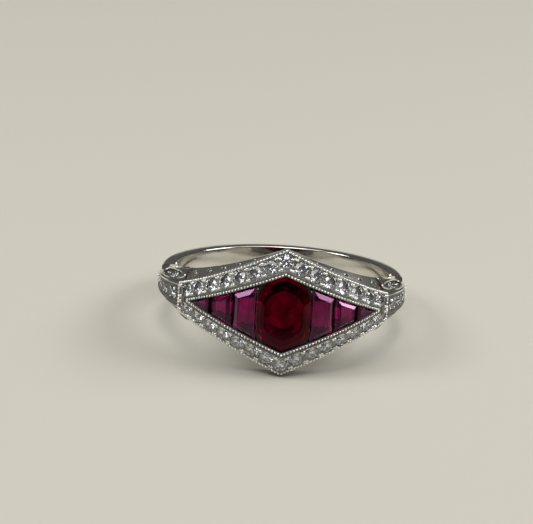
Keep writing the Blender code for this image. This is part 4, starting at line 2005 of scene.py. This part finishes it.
@dataclass(frozen=True)
class Rubies:
    """Barrel-shaped middle ruby and the matched step cuts on either side of it.

    Attributes:
        edges: where one stone ends and the next begins, along the head.
        names: of the side stones, from the middle outwards.
        girdle_radius: distance of the girdles from the finger's axis.
        clearance: room between a stone and the wall.
        seam: room between two stones.
        quarter: outline of a quarter of the middle stone.
        tip: half height of the middle stone.
        middle_steps: the middle stone's steps from table to culet, as its width and height in
            shares and the level above the girdle.
        side_steps: a side stone's steps, as how far the outline moves in, as a share of its reach,
            and the level above the girdle.
    """

    edges: tuple = (2.05, 3.86, 5.54, 7.14)
    names: tuple = ("inner", "middle", "tip")
    girdle_radius: float = 10.16
    clearance: float = 0.055
    seam: float = 0.016
    quarter: tuple = (
        (2.04, 0.55), (2.03, 1.10), (1.88, 1.62), (1.60, 2.06), (1.20, 2.42), (0.74, 2.68), (0.30, 2.85),
    )
    tip: float = 2.93
    middle_steps: tuple = (
        (0.72, 0.66, 0.37), (0.86, 0.84, 0.22), (1.0, 1.0, 0.02), (1.0, 1.0, -0.05),
        (0.88, 0.86, -0.36), (0.70, 0.66, -0.70), (0.46, 0.42, -0.98), (0.18, 0.20, -1.14),
    )
    side_steps: tuple = (
        (0.50, 0.385), (0.16, 0.17), (0.0, 0.02), (0.0, -0.05), (0.22, -0.38), (0.48, -0.70), (0.75, -0.92),
    )

    def lozenge_height(self, along: float) -> float:
        """Half height that a ruby has at a distance along the head."""
        edge = PLAN.stone_edge
        return edge.height * (1.0 - abs(along) / edge.length) - self.clearance

    def place(self, angle: float) -> Matrix:
        """Placement with X around the finger, Y along it and Z out of the head."""
        onward = around(angle + 0.5 * math.pi, 1.0, 0.0)
        return frame_of(around(angle, self.girdle_radius, 0.0), onward, around(angle, 1.0, 0.0))

    def barrel(self) -> list:
        """Outline of the middle stone: straight sides that curve in to its upper and lower point.

        Returns:
            (x, y) pairs in order round the stone.
        """
        upper = [*self.quarter, (0.0, self.tip), *((-x, y) for x, y in reversed(self.quarter))]
        return upper + [(-x, -y) for x, y in upper]

    def build(self, bench: Workbench) -> None:
        """Cut and place all seven stones.

        Args:
            bench: shared finishes and repeats.
        """
        outline = self.barrel()
        place = self.place(0.0)
        sections = [
            [place @ Vector((x * wide, y * high, level)) for x, y in outline]
            for wide, high, level in self.middle_steps
        ]
        stone = Blank().loft(sections).finish("ruby_center_cut", bench.deep_ruby, 0.0)
        enlist(stone, Finish.DEEP_RUBY, "ruby_center")
        for name, near, far in zip(self.names, self.edges, self.edges[1:]):
            for side_name, side in SIDES.items():
                self._side_stone(bench, f"ruby_{side_name}_{name}", side, near, far)

    def _side_stone(self, bench: Workbench, node: str, side: int, near: float, far: float) -> None:
        """Cut one of the side stones.

        Args:
            bench: shared finishes and repeats.
            node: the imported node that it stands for.
            side: -1 for left, 1 for right.
            near: its edge nearer the middle stone, along the head.
            far: its edge further out.
        """
        middle = math.asin(0.5 * (near + far) / self.girdle_radius)
        ends = []
        for along in (near + 0.5 * self.seam, far - 0.5 * self.seam):
            turn = math.asin(along / self.girdle_radius) - middle
            ends.append(side * self.girdle_radius * math.tan(turn))
        left, right = ends
        near_height, far_height = self.lozenge_height(near), self.lozenge_height(far)
        tips = [(right, -far_height), (right, far_height)] if far < self.edges[-1] else [(right, 0.0)]
        outline = [Vector(corner) for corner in ((left, -near_height), *tips, (left, near_height))]
        reach = self._reach(outline)
        place = self.place(side * middle)
        sections = []
        for share, level in self.side_steps:
            ring = self._inset(outline, share * reach)
            sections.append([place @ Vector((corner.x, corner.y, level)) for corner in ring])
        stone = Blank().loft(sections).finish(f"{node}_cut", bench.pink_ruby, 0.0)
        enlist(stone, Finish.PINK_RUBY, node)

    @staticmethod
    def _reach(outline: Sequence[Vector]) -> float:
        """How far a convex outline's sides can move inwards.

        Args:
            outline: its corners in order.

        Returns:
            The distance, a little short of where they would meet.
        """
        sides = list(zip(outline, [*outline[1:], outline[0]]))
        area = abs(0.5 * sum(start.x * end.y - end.x * start.y for start, end in sides))
        return 1.6 * area / sum((end - start).length for start, end in sides)

    @staticmethod
    def _inset(outline: Sequence[Vector], distance: float) -> list:
        """Move every side of a convex outline inwards.

        Args:
            outline: its corners in order.
            distance: how far the sides move.

        Returns:
            The new corners.
        """
        count = len(outline)
        middle = sum(outline, Vector((0.0, 0.0))) / count
        lines = []
        for index, start in enumerate(outline):
            end = outline[(index + 1) % count]
            inward = Vector((start.y - end.y, end.x - start.x)).normalized()
            inward = inward if inward.dot(middle - start) > 0.0 else -inward
            lines.append((inward, inward.dot(start) + distance))
        corners = []
        for (before, reach), (after, other) in zip([lines[-1], *lines], lines):
            determinant = before.x * after.y - before.y * after.x
            x = (reach * after.y - other * before.y) / determinant
            corners.append(Vector((x, (before.x * other - after.x * reach) / determinant)))
        return corners


# ---------------- studio


@dataclass(frozen=True)
class Softbox:
    """Square soft light that faces the ring.

    Attributes:
        name: the light's name.
        position: where it hangs, in metres.
        size: length of its side, in metres.
        power: in watts.
        color: of its light.
    """

    name: str
    position: tuple
    size: float
    power: float
    color: tuple

    def hang(self) -> None:
        """Put the light in the scene."""
        data = bpy.data.lights.new(self.name, "AREA")
        data.size = self.size
        data.energy = self.power
        data.color = self.color
        light = bpy.data.objects.new(self.name, data)
        bpy.context.scene.collection.objects.link(light)
        spot = Vector(self.position)
        turn = (-spot).to_track_quat("-Z", "Y").to_matrix().to_4x4()
        light.matrix_world = Matrix.Translation(spot) @ turn


@dataclass(frozen=True)
class Studio:
    """Floor, lights and camera.

    Attributes:
        elevation: camera's height above the plane of the band, in degrees.
        yaw: camera's turn about the finger's axis, in degrees.
        roll: camera's lean, in degrees.
        distance: from the camera to the middle of the ring, in millimetres.
        lens: focal length, in millimetres.
        sensor: width of the sensor, in millimetres.
        clip: nearest and furthest distance that the camera sees, in metres.
        aim: what the camera points at, right of and above the middle of the ring, in millimetres.
        floor_reach: half width of the floor, in metres.
        softboxes: the lights.
        ambient: colour of the light from all round.
        ambient_strength: its strength.
    """

    elevation: float = 13.0
    yaw: float = 1.19
    roll: float = 3.33
    distance: float = 200.0
    lens: float = 169.3
    sensor: float = 36.0
    clip: tuple = (0.01, 10.0)
    aim: tuple = (-1.21, 1.70)
    floor_reach: float = 1.5
    softboxes: tuple = (
        Softbox("overhead_softbox", (0.02, 0.06, 0.45), 0.42, 0.92, (1.0, 0.985, 0.96)),
        Softbox("front_softbox", (-0.05, -0.17, 0.42), 0.22, 0.46, (0.98, 0.99, 1.0)),
        Softbox("left_softbox", (-0.26, -0.038, 0.232), 0.12, 0.40, (0.90, 0.96, 1.0)),
        Softbox("right_softbox", (0.276, 0.006, 0.205), 0.14, 0.46, (0.92, 0.95, 1.0)),
        Softbox("rim_softbox", (0.274, 0.10, 0.194), 0.05, 0.10, (0.95, 0.97, 1.0)),
    )
    ambient: tuple = (0.54, 0.53, 0.51)
    ambient_strength: float = 0.175

    def camera(self) -> None:
        """Place the camera."""
        yaw, rise, lean = (math.radians(value) for value in (self.yaw, self.elevation, self.roll))
        right = Vector((math.cos(yaw), -math.sin(yaw), 0.0))
        forward_flat = Vector((math.sin(yaw), math.cos(yaw), 0.0))
        up = Vector((0.0, 0.0, 1.0))
        forward = forward_flat * math.cos(rise) - up * math.sin(rise)
        above = up * math.cos(rise) + forward_flat * math.sin(rise)
        rolled_right = right * math.cos(lean) + above * math.sin(lean)
        rolled_above = above * math.cos(lean) - right * math.sin(lean)
        data = bpy.data.cameras.new("camera")
        data.lens, data.sensor_width = self.lens, self.sensor
        data.clip_start, data.clip_end = self.clip
        camera = bpy.data.objects.new("camera", data)
        bpy.context.scene.collection.objects.link(camera)
        turn = Matrix((rolled_right, rolled_above, -forward)).transposed().to_4x4()
        shift = rolled_right * self.aim[0] + rolled_above * self.aim[1]
        spot = (shift - forward * self.distance) * MM
        camera.matrix_world = RING.to_world @ Matrix.Translation(spot) @ turn
        bpy.context.scene.camera = camera

    def build(self) -> None:
        """Set up the whole studio."""
        self.camera()
        shape = bmesh.new()
        bmesh.ops.create_grid(shape, x_segments=1, y_segments=1, size=self.floor_reach)
        mesh = bpy.data.meshes.new("studio_floor")
        shape.to_mesh(mesh)
        shape.free()
        mesh.materials.append(StudioFloor().build())
        linked("studio_floor", mesh)
        for softbox in self.softboxes:
            softbox.hang()
        world = bpy.data.worlds.new("studio")
        world.use_nodes = True
        background = world.node_tree.nodes["Background"]
        background.inputs["Color"].default_value = (*self.ambient, 1.0)
        background.inputs["Strength"].default_value = self.ambient_strength
        bpy.context.scene.world = world
        bpy.context.scene.view_settings.view_transform = "Standard"


def dress_bench() -> Workbench:
    """Make the shared finishes and repeat trees.

    Returns:
        The workbench.
    """
    return Workbench(
        polished=Platinum("platinum_polished", (0.70, 0.675, 0.62), lines=0.9).build(),
        # Worked metal: painted shade and grime darken its recesses.
        worked=Platinum("platinum_worked", (0.71, 0.69, 0.64), roughness=0.13, grime_and_shade=0.95).build(),
        # Beads metal: a lighter copy of the same metal, a painted highlight.
        beads=Platinum("platinum_painted_highlight", (0.92, 0.905, 0.86), roughness=0.08).build(),
        # Near-black metal under the rubies: painted shade.
        painted_shadow=Platinum("platinum_painted_shadow", (0.06, 0.05, 0.05), roughness=0.45).build(),
        deep_ruby=Ruby("ruby_deep", (0.026, 0.0, 0.001), (0.135, 0.0, 0.010), (0.46, 0.06, 0.10)).build(),
        pink_ruby=Ruby("ruby_pink", (0.060, 0.0, 0.017), (0.31, 0.003, 0.105), (0.70, 0.34, 0.60)).build(),
        diamond=Diamond().build(),
        milgrain=Milgrain(),
        grains=Grains(),
        collets=Collets(),
    )


def main() -> None:
    """Build and dress the ring."""
    logging.basicConfig(level=logging.INFO, format="%(message)s")
    bench = dress_bench()
    Shank().build(bench)
    for name in SIDES:
        Shoulder(name).build(bench)
    Border().build(bench)
    RubyChannel().build(bench)
    UnderGallery().build(bench)
    Rubies().build(bench)
    Studio().build()


if __name__ == "__main__":
    main()
